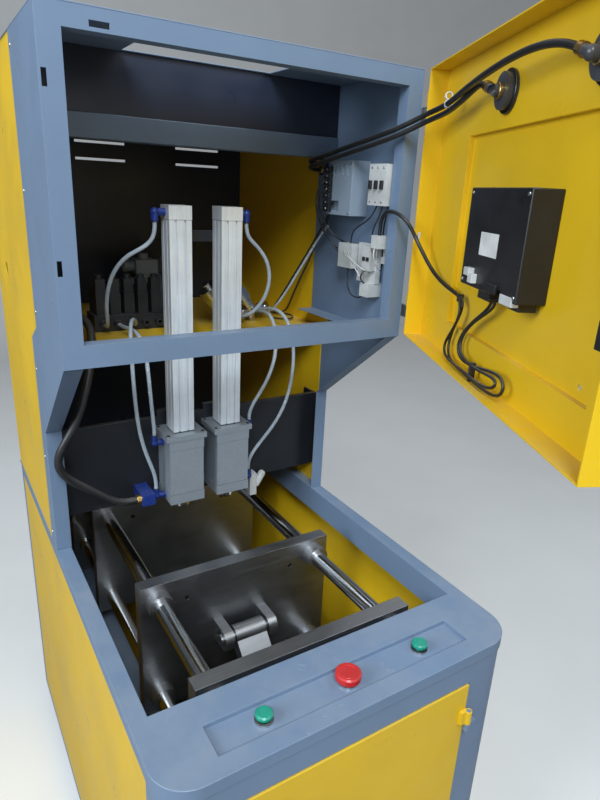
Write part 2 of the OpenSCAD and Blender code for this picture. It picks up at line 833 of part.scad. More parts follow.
// A tube swept along the points of a route
module tube_along(route, r, sides = 8) {
    p = smooth(route);
    n = len(p);
    f = frames(p, 0, side_of(tangent(p, 0)));
    rings = [for (i = [0:n - 1], k = [0:sides - 1])
        let (a = 360 * k / sides, u = f[i], v = cross(tangent(p, i), f[i])) p[i] + r * (cos(a) * u + sin(a) * v)];
    skin = [for (i = [0:n - 2], k = [0:sides - 1])
        let (k2 = (k + 1) % sides) [i * sides + k, (i + 1) * sides + k, (i + 1) * sides + k2, i * sides + k2]];
    polyhedron(concat(rings, [p[0], p[n - 1]]), concat(skin,
        [for (k = [0:sides - 1]) [k, (k + 1) % sides, n * sides]],
        [for (k = [0:sides - 1]) [(n - 1) * sides + (k + 1) % sides, (n - 1) * sides + k, n * sides + 1]]));
}

tube_r = 4;
tube_routes = [
    [[97, 70, 1454.8], [97, 70, 1440], [102, 69, 1422], [122, 65, 1406], [144, 62, 1378], [154, 64, 1340],
        [152, 78, 1298], [136, 98, 1262], [118, 120, 1247], [110, 142, 1245], [110, 158.8, 1245]],
    [[-97, 70, 1454.8], [-97, 70, 1438], [-102, 72, 1418], [-122, 77, 1402], [-150, 88, 1388], [-172, 104, 1356],
        [-180, 124, 1314], [-178, 142, 1272], [-172, 160, 1244], [-168, 180, 1232], [-168, 196.8, 1232]],
    [[-112, 70, 1017.2], [-112, 70, 1034], [-114, 68, 1052], [-118, 64, 1092], [-122, 62, 1146], [-124, 64, 1190],
        [-127, 82, 1226], [-132, 118, 1238], [-137, 154, 1234], [-138, 178, 1232], [-138, 196.8, 1232]],
    [[112, 70, 1017.2], [112, 70, 1034], [119, 68, 1056], [142, 64, 1090], [163, 62, 1132], [176, 66, 1176],
        [181, 82, 1224], [184, 112, 1250], [187, 150, 1250], [188, 180, 1245], [188, 198.8, 1245]],
    [[-112, 70, 892.2], [-112, 70, 910], [-116, 68, 934], [-132, 63, 976], [-146, 61, 1030], [-152, 61, 1094],
        [-154, 62, 1160], [-152, 74, 1220], [-142, 104, 1258], [-124, 138, 1256], [-111, 166, 1240],
        [-108, 184, 1232], [-108, 196.8, 1232]],
    [[112, 70, 892.2], [112, 70, 910], [120, 68, 934], [146, 64, 966], [182, 61, 1008], [208, 60, 1062],
        [220, 62, 1120], [224, 68, 1180], [222, 88, 1230], [215, 122, 1256], [209, 162, 1254], [208, 192, 1246],
        [208, 209.8, 1245]]];
hose_r = 8;
hose_route = [[-296.6, 190, 1263], [-268, 190, 1264], [-240, 184, 1264], [-220, 164, 1260], [-213, 136, 1246],
    [-218, 106, 1220], [-230, 80, 1184], [-246, 58, 1142], [-265, 42, 1102], [-284, 34, 1066], [-310, 36, 1030],
    [-314, 42, 994], [-292, 48, 962], [-262, 54, 936], [-232, 57, 910], [-206, 59, 889], [-180, 60, 880],
    [-150.5, 60, 881]];

module air_tubes() {
    color([0.75, 0.8, 0.85]) for (route = tube_routes) tube_along(route, tube_r);
}

module blow_hose() {
    color(black) tube_along(hose_route, hose_r, 10);
}

// A point of the open upper door, from its place beside the hinge line
function door_point(p) = [hinge_x + p[0] * cos(door_open) - p[1] * sin(door_open),
    hinge_y + p[0] * sin(door_open) + p[1] * cos(door_open), head_z + p[2]];

gauge_hose_r = 4.5;
hose_start = [[297.8, 100, 0], [280, 100, 0], [263, 94, 1], [250, 80, 3], [246, 58, 6], [252, 16, 15],
    [262, -60, 32], [268, -120, 44], [274, -172, 56], [286, -206, 70], [290, -236, 80]];
far_end = [[-120, 12, 412], [-190, 16, 420], [-270, 20, 427], [-340, 20, 433], [-400, 18, 436], [-445, 12, 436],
    [-475, 6, 431], [-492, 3, 425.1], [-504.8, 3, 420.5]];
near_end = [[-120, 12, 400], [-165, 12, 406], [-205, 9, 416], [-229, 5, 426], [-248.1, 3, 425.1],
    [-260.7, 3, 420.5]];
cable_r = 3.5;
cable_start = [[290, -125, 1445.2], [290, -125, 1464], [287, -134, 1484], [284, -154, 1494], [284, -180, 1490],
    [290, -206, 1476]];
cable_end = [[-34, 16, 198], [-56, 4, 170], [-88, -6, 144], [-130, -12, 130], [-172, -15, 124], [-200, -17, 121],
    [-214, -17, 118]];
wire_r = 2.25;
wire_route = [[-214.3, -17, 117.9], [-224, -17, 117.5], [-231, -16, 107], [-226, -15, 90], [-212, -14, 72],
    [-198, -13, 44], [-202, -11, 22], [-240, -8, 14], [-310, -6, 14], [-390, -5, 14], [-432, -5, 20],
    [-444, -5, 36],
    [-430, -6, 50], [-380, -8, 44], [-320, -9, 32], [-268, -10, 28], [-244, -11, 40], [-248, -12, 62],
    [-276, -14, 88], [-312, -13, 108], [-342, -11, 124], [-352, -11, 136], [-352, -11, 142.1]];

module gauge_hoses() {
    apart = 6;
    color(black) for (k = [[apart, far_end], [-apart, near_end]]) tube_along(
        concat([for (q = hose_start) q + [0, 0, union_z + k[0]]], [for (q = k[1]) door_point(q)]), gauge_hose_r);
}

module control_cable() {
    color(black) {
        tube_along(concat(cable_start, [for (q = cable_end) door_point(q)]), cable_r);
        tube_along([for (q = wire_route) door_point(q)], wire_r);
    }
}

/* Electrics on the right wall of the head */
psu_y = head_y + 128;
psu_z = head_z + 226;
psu_size = [44, 87, 107];
vent_n = 5;

module power_supply() {
    x0 = plate_x - psu_size[0];
    color([0.62, 0.68, 0.74]) difference() {
        box([x0, psu_y, psu_z], [plate_x, psu_y + psu_size[1], psu_z + psu_size[2]]);
        for (i = [0:vent_n - 1]) box([x0 - 1, psu_y + 12 + i * 15, psu_z + psu_size[2] - 28],
            [x0 + 4, psu_y + 19 + i * 15, psu_z + psu_size[2] - 8]);
        box([x0 - 1, psu_y + psu_size[1] - 44, psu_z + 8], [x0 + 10, psu_y + psu_size[1] + 1, psu_z + 28]);
    }
}

rail_t = 7;
unit_x = plate_x - rail_t;
unit_front = head_y + window_rim + 4;

// One unit on a rail, from its front and low edge
module rail_unit(y, z, deep, wide, high) {
    box([unit_x - deep, unit_front + y, head_z + z], [unit_x, unit_front + y + wide, head_z + z + high]);
}

// Circuit breakers above, relay and terminals below, each clipped to a mounting rail
module rail_units() {
    breaker_w = 17;
    color([0.80, 0.81, 0.80]) {
        box([unit_x, unit_front, head_z + 281], [plate_x, unit_front + 58, head_z + 295]);
        for (i = [0:2]) rail_unit(i * (breaker_w + 0.4), 250, 30, breaker_w, 76);
        box([unit_x, unit_front, head_z + 138], [plate_x, unit_front + 150, head_z + 152]);
        rail_unit(0, 170, 33, 26, 25);
        box([unit_x, unit_front, head_z + 152], [plate_x, unit_front + 26, head_z + 195]);
        rail_unit(30, 97, 12, 62, 78);
        rail_unit(32, 123, 27, 28, 49);
        rail_unit(32, 70, 27, 28, 27);
        box([unit_x, unit_front + 32, head_z + 70], [plate_x, unit_front + 60, head_z + 98]);
        rail_unit(100, 120, 24, 48, 50);
    }
}

/* Upper door, drawn shut about its hinge line and turned open */
hinge_out = 6;
hinge_x = side_x + 4.5 + hinge_out;
rim_y = 12;
hinge_y = head_y - door_gap - rim_y;
skin_y = rim_y - door_deep;
door_low = 8.6;
door_high = head_h - 1.2;
press_x = [-604, -148];
press_z = [64, 368];
latch_z = [150, 394];

module on_door() {
    translate([hinge_x, hinge_y, head_z]) rotate([0, 0, door_open]) children();
}

ctrl_x = -368;
ctrl_z = 219;
ctrl_edge = 8;
screw_hole = [-568, 80];
gauge_x = [-284, 133 - door_w];
gauge_z = 412;

module upper_door() {
    x0 = -hinge_out - door_w;
    x1 = -hinge_out;
    color(yellow) on_door() union() {
        difference() {
            union() {
                box([x0, skin_y, door_low], [x1, rim_y, door_high]);
                box([press_x[0], skin_y - press_deep, press_z[0]], [press_x[1], rim_y, press_z[1]]);
            }
            box([x0 + sheet_t, skin_y + sheet_t, door_low + sheet_t],
                [x1 - sheet_t, rim_y + 1, door_high - sheet_t]);
            box([press_x[0] + sheet_t, skin_y - press_deep + sheet_t, press_z[0] + sheet_t],
                [press_x[1] - sheet_t, rim_y + 1, press_z[1] - sheet_t]);
            translate([ctrl_x, skin_y - press_deep + sheet_t / 2, ctrl_z])
                cube([controller_w - 2 * ctrl_edge, 2 * sheet_t, controller_h - 2 * ctrl_edge], center = true);
            axis_y(screw_hole[0], screw_hole[1], 3.5, skin_y - press_deep - 1, skin_y);
            for (x = gauge_x) axis_y(x, gauge_z, gauge_r + seat_gap, skin_y - 1, skin_y + sheet_t + 1);
            for (z = latch_z) axis_y(x0 + 26, z, latch_r + run_gap, skin_y - 1, skin_y + sheet_t + 1);
        }
        for (z = hinge_z) difference() {
            union() {
                translate([0, 0, z + knuckle_h + 0.5]) cylinder(r = knuckle_r, h = knuckle_h);
                box([-hinge_out, -4, z + knuckle_h + 0.5], [0, rim_y, z + 2 * knuckle_h + 0.5]);
            }
            translate([0, 0, z]) cylinder(r = hinge_r + run_gap, h = 3 * knuckle_h);
        }
    }
}

hinge_z = [40, 400];
knuckle_h = 24;
knuckle_r = hinge_out - 0.3;

// Frame leaves with their pins, on the right wall of the head
module door_hinges() {
    color(steel) for (z = hinge_z) translate([hinge_x, hinge_y, head_z + z]) union() {
        cylinder(r = knuckle_r, h = knuckle_h);
        cylinder(r = hinge_r, h = 2 * knuckle_h + 2);
        box([-3, 0, 0], [3, head_y - hinge_y + 14, knuckle_h]);
        box([side_x - hinge_x, head_y - hinge_y + 8, 0], [3, head_y - hinge_y + 14 + 20, knuckle_h]);
    }
}

module controller_box() {
    y0 = skin_y - press_deep + sheet_t;
    y1 = y0 + controller_deep;
    x0 = ctrl_x - controller_w / 2;
    x1 = ctrl_x + controller_w / 2;
    z0 = ctrl_z - controller_h / 2;
    plug_w = 40;
    recess_w = 44;
    color(black) on_door() difference() {
        union() {
            box([x0, y0, z0], [x1, y1, z0 + controller_h]);
            box([x1 - 58 - plug_w, y0, z0 - plug_h], [x1 - 58, y1 - 6, z0 + 1]);
        }
        box([x1 - 60 - plug_w - recess_w, y1 - 12, z0 - 1], [x1 - 60 - plug_w, y1 + 1, z0 + 10]);
    }
}

plug_h = 8;

// Front of the controller outside the door: a bezel with a display and a key field
module controller_face() {
    w = controller_w + 6;
    h = controller_h + 6;
    y1 = skin_y - press_deep;
    edge = ctrl_edge + seat_gap;
    key_w = 20;
    key_h = 14;
    key_n = 5;
    key_step = (w - 32 - key_w) / (key_n - 1);
    color([0.75, 0.77, 0.78]) on_door() difference() {
        union() {
            box([ctrl_x - w / 2, y1 - 6, ctrl_z - h / 2], [ctrl_x + w / 2, y1, ctrl_z + h / 2]);
            for (i = [0:key_n - 1], j = [0:1])
                translate([ctrl_x - w / 2 + 16 + i * key_step, y1 - 8, ctrl_z - h / 2 + 14 + j * (key_h + 8)])
                    cube([key_w, 3, key_h]);
            box([ctrl_x - controller_w / 2 + edge, y1 - 1, ctrl_z - controller_h / 2 + edge],
                [ctrl_x + controller_w / 2 - edge, y1 + sheet_t, ctrl_z + controller_h / 2 - edge]);
        }
        box([ctrl_x - w / 2 + 16, y1 - 7, ctrl_z - 2], [ctrl_x + w / 2 - 16, y1 - 4, ctrl_z + h / 2 - 14]);
    }
}

gauge_front = 8;
gauge_back = 15;
gauge_ring = 4;
stub_r = 8;
stub_y = skin_y + 27;
stub_l = 24;
stub_tilt = 20;

// Air gauge through the door's skin, with a clamp ring, a back connection and an elbow
module gauge(x) {
    color(dark_steel) on_door() difference() {
        union() {
            axis_y(x, gauge_z, gauge_r, skin_y - gauge_front, skin_y + gauge_back);
            axis_y(x, gauge_z, gauge_r + gauge_ring + 1, skin_y - gauge_front, skin_y);
            axis_y(x, gauge_z, gauge_r + gauge_ring, skin_y + sheet_t, skin_y + sheet_t + 3);
            axis_y(x, gauge_z, stub_r, skin_y + gauge_back, stub_y);
            translate([x, stub_y, gauge_z]) sphere(stub_r);
            translate([x, stub_y, gauge_z]) rotate([0, 90 - stub_tilt, 0]) cylinder(r = stub_r - 2, h = stub_l);
        }
        axis_y(x, gauge_z, gauge_r - 3, skin_y - gauge_front - 1, skin_y - gauge_front / 2);
    }
}

module gauge_left() {
    gauge(gauge_x[0]);
}

module gauge_right() {
    gauge(gauge_x[1]);
}

latch_r = 9;

// Quarter-turn latch: a wing knob outside and a tongue inside the pan
module latch(z) {
    x = -hinge_out - door_w + 26;
    color(black) on_door() union() {
        axis_y(x, z, latch_r, skin_y - 4, skin_y + 24);
        axis_y(x, z, latch_r + 5, skin_y - 6, skin_y - 0.2);
        box([x - 4, skin_y - 18, z - 14], [x + 4, skin_y - 6, z + 14]);
        box([x - 7, skin_y + 24, z - 10], [x + 7, skin_y + 28, z + 18]);
    }
}

module latch_upper() {
    latch(latch_z[1]);
}

module latch_lower() {
    latch(latch_z[0]);
}

/* Lower front door, shut */
fd_x = front_door_w / 2;
fd_hinge_y = front_y - 6;
fd_lock_z = door_base_z + front_door_h * 0.62;
fd_hinge_z = [door_base_z + 60, door_top_z - 97];
lock_gap = 2.4;
lock_t = 3;

module front_door() {
    pan_x = fd_x - door_clear;
    color(yellow) union() {
        difference() {
            box([-pan_x, front_y, door_base_z + door_clear],
                [pan_x, front_y + rim_deep - 1, door_top_z - door_clear]);
            box([sheet_t - pan_x, front_y + sheet_t, door_base_z + door_clear + sheet_t],
                [pan_x - sheet_t, front_y + rim_deep, door_top_z - door_clear - sheet_t]);
            axis_y(-fd_x + 30, fd_lock_z, latch_r + run_gap, front_y - 1, front_y + sheet_t + 1);
        }
        for (z = fd_hinge_z) difference() {
            union() {
                translate([fd_x, fd_hinge_y, z + 14.5]) cylinder(r = hinge_r + 2, h = 28);
                box([fd_x - 16, fd_hinge_y, z + 14.5], [fd_x, front_y, z + 42.5]);
            }
            translate([fd_x, fd_hinge_y, z]) cylinder(r = hinge_r + run_gap, h = 60);
        }
    }
}

module front_hinge_pins() {
    for (z = fd_hinge_z) {
        translate([fd_x, fd_hinge_y, z]) cylinder(r = hinge_r + 2, h = 14);
        translate([fd_x, fd_hinge_y, z]) cylinder(r = hinge_r, h = 42);
        box([fd_x, fd_hinge_y - 2, z], [fd_x + 20, front_y + base_in, z + 14]);
    }
}

// Quarter-turn lock: its tongue points down when open and reaches behind the frame when shut
module front_door_lock() {
    x = -fd_x + 30;
    tongue_y = front_y + rim_deep + lock_gap;
    color(black) union() {
        axis_y(x, fd_lock_z, latch_r, front_y - 3, tongue_y + lock_t + 0.4);
        axis_y(x, fd_lock_z, latch_r + 4, front_y - 5, front_y - 0.2);
        box([x - 3, front_y - 15, fd_lock_z - 12], [x + 3, front_y - 5, fd_lock_z + 12]);
        box([x - 8, tongue_y, fd_lock_z - 42], [x + 8, tongue_y + lock_t, fd_lock_z + 8]);
    }
}

/* Buttons in the control strip */
strip_z = table_z - tray_deep;
collar_h = 4;

module button(x, r, thick) {
    low = strip_z + collar_h + button_travel + 0.6;
    translate([x, tray_y, 0]) rotate_extrude($fn = 48) polygon([[0, strip_z - 22], [7.4, strip_z - 22],
        [7.4, low],
        [r - 1, low], [r, low + 1.5], [r, low + thick - 2.5], [r - 2.5, low + thick - 0.4], [0, low + thick]]);
}

module start_button_left() {
    color([0.10, 0.62, 0.50]) button(-start_reach, start_r, 8);
}

module start_button_right() {
    color([0.10, 0.62, 0.50]) button(start_reach, start_r, 8);
}

module stop_button() {
    color([0.82, 0.12, 0.12]) button(0, stop_r, 13);
}

module button_collars() {
    color([0.7, 0.72, 0.74]) for (x = [-start_reach, 0, start_reach]) translate([x, tray_y, 0]) difference() {
        union() {
            translate([0, 0, strip_z]) cylinder(r = x == 0 ? 17 : 14.5, h = collar_h);
            translate([0, 0, strip_z - 34]) cylinder(r = button_hole_r - 0.2, h = 34);
            translate([-15, -15, strip_z - 58]) cube([30, 30, 26]);
        }
        translate([0, 0, strip_z - 30]) cylinder(r = 7.5, h = 60);
    }
}

/* Clamp unit, drawn in front of the moulds and mirrored behind them */
open_half = platen_shut + platen_travel;
lug_open = open_half + platen_t + lug_reach;
angle_open = acos((pivot_reach - lug_open) / (2 * link_l));
knee_reach = pivot_reach - link_l * cos(angle_open);
knee_shut_reach = pivot_reach - link_l * cos(shut_angle);
toggle_knee_z = toggle_z - link_l * sin(angle_open);
tie_x = platen_w / 2 - 36;
tie_z = 112;
boss_r = pin_r + 11;
cheek_in = 36;
cheek_t = 18;
cheek_out = cheek_in + cheek_t;
ear_in = 40;
ear_t = 20;
fork_in = cheek_out + 4;
fork_t = 14;
slot_out = 1;
slot_in = 11.5;
mould_hole_x = 240;
mould_hole_z = 200;
mould_hole_r = 5;

module end_plate() {
    y1 = mould_y - end_reach;
    color(steel) difference() {
        union() {
            box([-platen_w / 2, y1 - end_t, end_low], [platen_w / 2, y1, toggle_z + platen_h / 2]);
            box([-cheek_in + 4, y1 - 1, toggle_z - boss_r - 6], [cheek_in - 4, y1 + 8, toggle_z + boss_r + 6]);
            box([-cheek_in + 4, y1, toggle_z - boss_r], [cheek_in - 4, y1 + bracket_reach, toggle_z + boss_r]);
            axis_x(y1 + bracket_reach, toggle_z, boss_r, cheek_in - 4);
        }
        axis_x(y1 + bracket_reach, toggle_z, pin_r + run_gap, cheek_in);
        for (x = [-1, 1], z = [-1, 1])
            axis_y(x * tie_x, toggle_z + z * tie_z, tie_r, y1 - end_t - 1, y1 + 1);
    }
}

module end_plates() {
    end_plate();
    rear_copy() end_plate();
}

module tie_bars() {
    reach = end_reach + end_t;
    nut_h = 8;
    color(bright) for (x = [-1, 1], z = [-1, 1]) union() {
        axis_y(x * tie_x, toggle_z + z * tie_z, tie_r, mould_y - reach - 10, mould_y + reach + 10);
        for (y = [-reach - nut_h, reach]) translate([x * tie_x, mould_y + y, toggle_z + z * tie_z])
            rotate([-90, 0, 0]) cylinder(r = tie_r + 8, h = nut_h, $fn = 6);
        for (y = [-end_reach, end_reach - nut_h]) translate([x * tie_x, mould_y + y, toggle_z + z * tie_z])
            rotate([-90, 0, 0]) cylinder(r = tie_r + 6, h = nut_h);
    }
}

module platen() {
    y1 = mould_y - open_half;
    y0 = y1 - platen_t;
    pin_y = y0 - lug_reach;
    ear_x = ear_in + ear_t / 2;
    color(steel) difference() {
        union() {
            box([-platen_w / 2, y0, toggle_z - platen_h / 2], [platen_w / 2, y1, toggle_z + platen_h / 2]);
            for (x = [-1, 1], z = [-1, 1])
                axis_y(x * tie_x, toggle_z + z * tie_z, tie_r + 9, y0 - 22, y0);
            for (s = [-1, 1]) {
                box([s * ear_x - ear_t / 2, pin_y - slot_out, toggle_z - boss_r],
                    [s * ear_x + ear_t / 2, y0, toggle_z + boss_r]);
                translate([s * ear_x, pin_y - slot_out, toggle_z]) rotate([0, 90, 0])
                    cylinder(r = boss_r, h = ear_t, center = true);
            }
        }
        for (dy = [-slot_out, slot_in]) axis_x(pin_y + dy, toggle_z, pin_r + run_gap, ear_in + ear_t + 1);
        box([-ear_in - ear_t - 1, pin_y - slot_out, toggle_z - pin_r - run_gap],
            [ear_in + ear_t + 1, pin_y + slot_in, toggle_z + pin_r + run_gap]);
        for (x = [-1, 1], z = [-1, 1]) {
            axis_y(x * tie_x, toggle_z + z * tie_z, tie_r + run_gap, y0 - 23, y1 + 1);
            axis_y(x * mould_hole_x / 2, toggle_z + z * mould_hole_z / 2, mould_hole_r, y0 - 1, y1 + 1);
        }
    }
}

module platen_front() {
    platen();
}

module platen_rear() {
    rear_copy() platen();
}

// A flat link bar with round ends between two points of the YZ plane
module bar(a, b, r, x0, x1) {
    d = b - a;
    l = norm(d);
    ang = atan2(d[1], d[0]);
    translate([x0, a[0], a[1]]) rotate([90, 0, 90]) rotate(ang) linear_extrude(x1 - x0) union() {
        circle(r);
        translate([l, 0]) circle(r);
        translate([0, -r * 0.72]) square([l, r * 1.44]);
    }
}

pivot_pt = [mould_y - pivot_reach, toggle_z];
knee_pt = [mould_y - knee_reach, toggle_knee_z];
lug_pt = [mould_y - lug_open, toggle_z];

// Outer link: two cheeks with the end-plate pin and the knee pin pressed in
module outer_link() {
    color(dark_steel) union() {
        both_sides() bar(pivot_pt, knee_pt, boss_r - 1, cheek_in, cheek_out);
        axis_x(pivot_pt[0], pivot_pt[1], pin_r, cheek_out + 4);
        axis_x(knee_pt[0], knee_pt[1], pin_r, fork_in + fork_t + 4);
    }
}

module outer_link_front() {
    outer_link();
}

module outer_link_rear() {
    rear_copy() outer_link();
}

// Inner link: one thick bar with the lug pin pressed in
module inner_link() {
    color(steel) difference() {
        union() {
            bar(knee_pt, lug_pt, boss_r - 2, -cheek_in + 2, cheek_in - 2);
            axis_x(lug_pt[0], lug_pt[1], pin_r - 0.3, ear_in + ear_t + 4);
        }
        axis_x(knee_pt[0], knee_pt[1], pin_r + run_gap, cheek_in);
    }
}

module inner_link_front() {
    inner_link();
}

module inner_link_rear() {
    rear_copy() inner_link();
}

cyl_low = foot_h + floor_t + tube_w;
cyl_h = 190;
cyl_w = 120;
knee_slack = 3.4;
cyl_r = 50;
beam_top = toggle_knee_z - 138;
beam_thick = 50;
clamp_rod_r = 14;
clamp_piston_h = 26;
clamp_cap = 34;

// Yoke that lifts both knees, with the piston rod of the clamp cylinder
module crosshead() {
    half = fork_in + fork_t;
    slot_mid = (knee_reach + knee_shut_reach) / 2;
    slot_half = (knee_reach - knee_shut_reach) / 2 + pin_r + 1.5;
    up_half = slot_half + 12;
    color([0.30, 0.32, 0.35]) difference() {
        union() {
            box([-half, mould_y - slot_mid - up_half, beam_top - beam_thick],
                [half, mould_y + slot_mid + up_half, beam_top]);
            for (s = [-1, 1]) both_sides() box([fork_in, mould_y + s * slot_mid - up_half, beam_top - 1],
                [half, mould_y + s * slot_mid + up_half, toggle_knee_z + pin_r + 14]);
            translate([0, mould_y, cyl_low + clamp_cap + clamp_piston_h]) cylinder(r = clamp_rod_r,
                h = beam_top - beam_thick - cyl_low - clamp_cap - clamp_piston_h + 1);
            translate([0, mould_y, cyl_low + clamp_cap + 1]) cylinder(r = cyl_r - run_gap, h = clamp_piston_h);
        }
        for (y = [mould_y - slot_mid, mould_y + slot_mid])
            box([-half - 1, y - slot_half, toggle_knee_z - pin_r - knee_slack],
                [half + 1, y + slot_half, toggle_knee_z + pin_r + 0.4]);
    }
}

// Clamp cylinder that stands on the two cross tubes
module clamp_cylinder() {
    color([0.55, 0.57, 0.60]) translate([0, mould_y, cyl_low]) difference() {
        union() {
            translate([-cyl_w / 2, -cyl_w / 2, 0]) cube([cyl_w, cyl_w, clamp_cap]);
            translate([0, 0, clamp_cap]) cylinder(r = cyl_r + 4, h = cyl_h - 2 * clamp_cap);
            translate([-cyl_w / 2, -cyl_w / 2, cyl_h - clamp_cap]) cube([cyl_w, cyl_w, clamp_cap]);
            for (x = [-1, 1], y = [-1, 1]) translate([x * (cyl_w / 2 - 9), y * (cyl_w / 2 - 9), clamp_cap])
                cylinder(r = 6, h = cyl_h - 2 * clamp_cap);
        }
        translate([0, 0, clamp_cap]) cylinder(r = cyl_r, h = cyl_h - 2 * clamp_cap);
        translate([0, 0, clamp_cap]) cylinder(r = clamp_rod_r + run_gap, h = cyl_h);
    }
}

foot_plates();
base_cabinet();
inner_frame();
table_top();
control_tray();
lower_side_panels();
rear_panels();
side_frame_left();
side_frame_right();
side_panels();
head_front_frame();
head_roof();
cross_beam();
valve_shelf();
cylinder_mount_plate();
cylinder_adapters();
barrel_left();
barrel_right();
barrel_bracket();
seal_block_left();
seal_block_right();
stretch_rod_left();
stretch_rod_right();
seal_nozzle_left();
seal_nozzle_right();
valve_bank();
air_service_unit();
blow_valves();
silencer();
push_fittings();
air_tubes();
blow_hose();
gauge_hoses();
control_cable();
power_supply();
rail_units();
upper_door();
door_hinges();
controller_box();
controller_face();
gauge_left();
gauge_right();
latch_upper();
latch_lower();
front_door();
front_door_lock();
start_button_left();
start_button_right();
stop_button();
button_collars();
end_plates();
tie_bars();
platen_front();
platen_rear();
outer_link_front();
outer_link_rear();
inner_link_front();
inner_link_rear();
crosshead();
clamp_cylinder();
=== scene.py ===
"""Looks of a two-cavity bottle blow moulding machine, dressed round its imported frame."""

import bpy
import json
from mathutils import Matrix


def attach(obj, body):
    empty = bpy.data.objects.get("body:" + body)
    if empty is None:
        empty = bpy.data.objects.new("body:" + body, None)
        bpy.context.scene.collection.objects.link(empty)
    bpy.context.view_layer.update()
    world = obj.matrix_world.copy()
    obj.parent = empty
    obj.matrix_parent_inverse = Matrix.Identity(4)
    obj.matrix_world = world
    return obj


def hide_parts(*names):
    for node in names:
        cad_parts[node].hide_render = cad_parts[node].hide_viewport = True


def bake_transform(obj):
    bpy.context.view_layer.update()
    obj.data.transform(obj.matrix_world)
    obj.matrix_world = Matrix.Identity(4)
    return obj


bl_info = {
    "name": "Blow moulding machine looks",
    "version": (1, 0, 0),
    "blender": (4, 5, 0),
    "location": "View3D > Sidebar > Machine",
    "description": "Paint, metal, hoses, fasteners and stage for a bottle blow moulding machine",
    "category": "Object",
}

import json
import math

import bmesh
import bpy
import numpy as np
from bpy.props import FloatProperty, FloatVectorProperty, IntProperty, PointerProperty
from mathutils import Matrix, Vector

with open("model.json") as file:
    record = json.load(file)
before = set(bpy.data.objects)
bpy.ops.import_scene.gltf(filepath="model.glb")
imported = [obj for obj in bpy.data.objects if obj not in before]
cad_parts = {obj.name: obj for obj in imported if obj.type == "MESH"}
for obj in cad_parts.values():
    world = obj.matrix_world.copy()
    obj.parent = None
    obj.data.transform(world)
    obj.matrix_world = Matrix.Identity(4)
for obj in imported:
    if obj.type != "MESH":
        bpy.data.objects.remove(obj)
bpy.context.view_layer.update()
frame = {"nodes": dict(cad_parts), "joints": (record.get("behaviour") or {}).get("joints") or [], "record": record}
MM = 0.001
HINGE = next(j for j in frame["joints"] if j["name"] == "upper_door_hinge")["pos_m"]
SLOT_OF = {s["node"]: s["material_slot"] for s in frame["record"]["subparts"]}
BODY_OF = {n: b for b, ns in frame["record"]["behaviour"]["bodies"].items() for n in ns}

# Routes of the hoses and cables, as guide points in millimetres
TUBE_ROUTES = [
    [(97, 70, 1454.8), (97, 70, 1440), (102, 69, 1422), (122, 65, 1406), (144, 62, 1378), (154, 64, 1340),
     (152, 78, 1298), (136, 98, 1262), (118, 120, 1247), (110, 142, 1245), (110, 158.8, 1245)],
    [(-97, 70, 1454.8), (-97, 70, 1438), (-102, 72, 1418), (-122, 77, 1402), (-150, 88, 1388),
     (-172, 104, 1356), (-180, 124, 1314), (-178, 142, 1272), (-172, 160, 1244), (-168, 180, 1232),
     (-168, 196.8, 1232)],
    [(-112, 70, 1017.2), (-112, 70, 1034), (-114, 68, 1052), (-118, 64, 1092), (-122, 62, 1146),
     (-124, 64, 1190), (-127, 82, 1226), (-132, 118, 1238), (-137, 154, 1234), (-138, 178, 1232),
     (-138, 196.8, 1232)],
    [(112, 70, 1017.2), (112, 70, 1034), (119, 68, 1056), (142, 64, 1090), (163, 62, 1132), (176, 66, 1176),
     (181, 82, 1224), (184, 112, 1250), (187, 150, 1250), (188, 180, 1245), (188, 198.8, 1245)],
    [(-112, 70, 892.2), (-112, 70, 910), (-116, 68, 934), (-132, 63, 976), (-146, 61, 1030),
     (-152, 61, 1094), (-154, 62, 1160), (-152, 74, 1220), (-142, 104, 1258), (-124, 138, 1256),
     (-111, 166, 1240), (-108, 184, 1232), (-108, 196.8, 1232)],
    [(112, 70, 892.2), (112, 70, 910), (120, 68, 934), (146, 64, 966), (182, 61, 1008), (208, 60, 1062),
     (220, 62, 1120), (224, 68, 1180), (222, 88, 1230), (215, 122, 1256), (209, 162, 1254),
     (208, 192, 1246), (208, 209.8, 1245)],
]
BLOW_HOSE_ROUTE = [
    (-296.6, 190, 1263), (-268, 190, 1264), (-240, 184, 1264), (-220, 164, 1260), (-213, 136, 1246),
    (-218, 106, 1220), (-230, 80, 1184), (-246, 58, 1142), (-265, 42, 1102), (-284, 34, 1066),
    (-310, 36, 1030), (-314, 42, 994), (-292, 48, 962), (-262, 54, 936), (-232, 57, 910), (-206, 59, 889),
    (-180, 60, 880), (-150.5, 60, 881)]
HOSE_START = [(297.8, 100, 0), (280, 100, 0), (263, 94, 1), (250, 80, 3), (246, 58, 6), (252, 16, 15),
              (262, -60, 32), (268, -120, 44), (274, -172, 56), (286, -206, 70), (290, -236, 80)]
HOSE_START_Z = 1572
HOSE_APART = 6
FAR_HOSE_END = [(-120, 12, 412), (-190, 16, 420), (-270, 20, 427), (-340, 20, 433), (-400, 18, 436),
                (-445, 12, 436), (-475, 6, 431), (-492, 3, 425.1), (-504.8, 3, 420.5)]
NEAR_HOSE_END = [(-120, 12, 400), (-165, 12, 406), (-205, 9, 416), (-229, 5, 426), (-248.1, 3, 425.1),
                 (-260.7, 3, 420.5)]
CABLE_START = [(290, -125, 1445.2), (290, -125, 1464), (287, -134, 1484), (284, -154, 1494),
               (284, -180, 1490), (290, -206, 1476)]
SLEEVE_END = [(-34, 16, 198), (-56, 4, 170), (-88, -6, 144), (-130, -12, 130), (-172, -15, 124),
              (-200, -17, 121), (-214, -17, 118)]
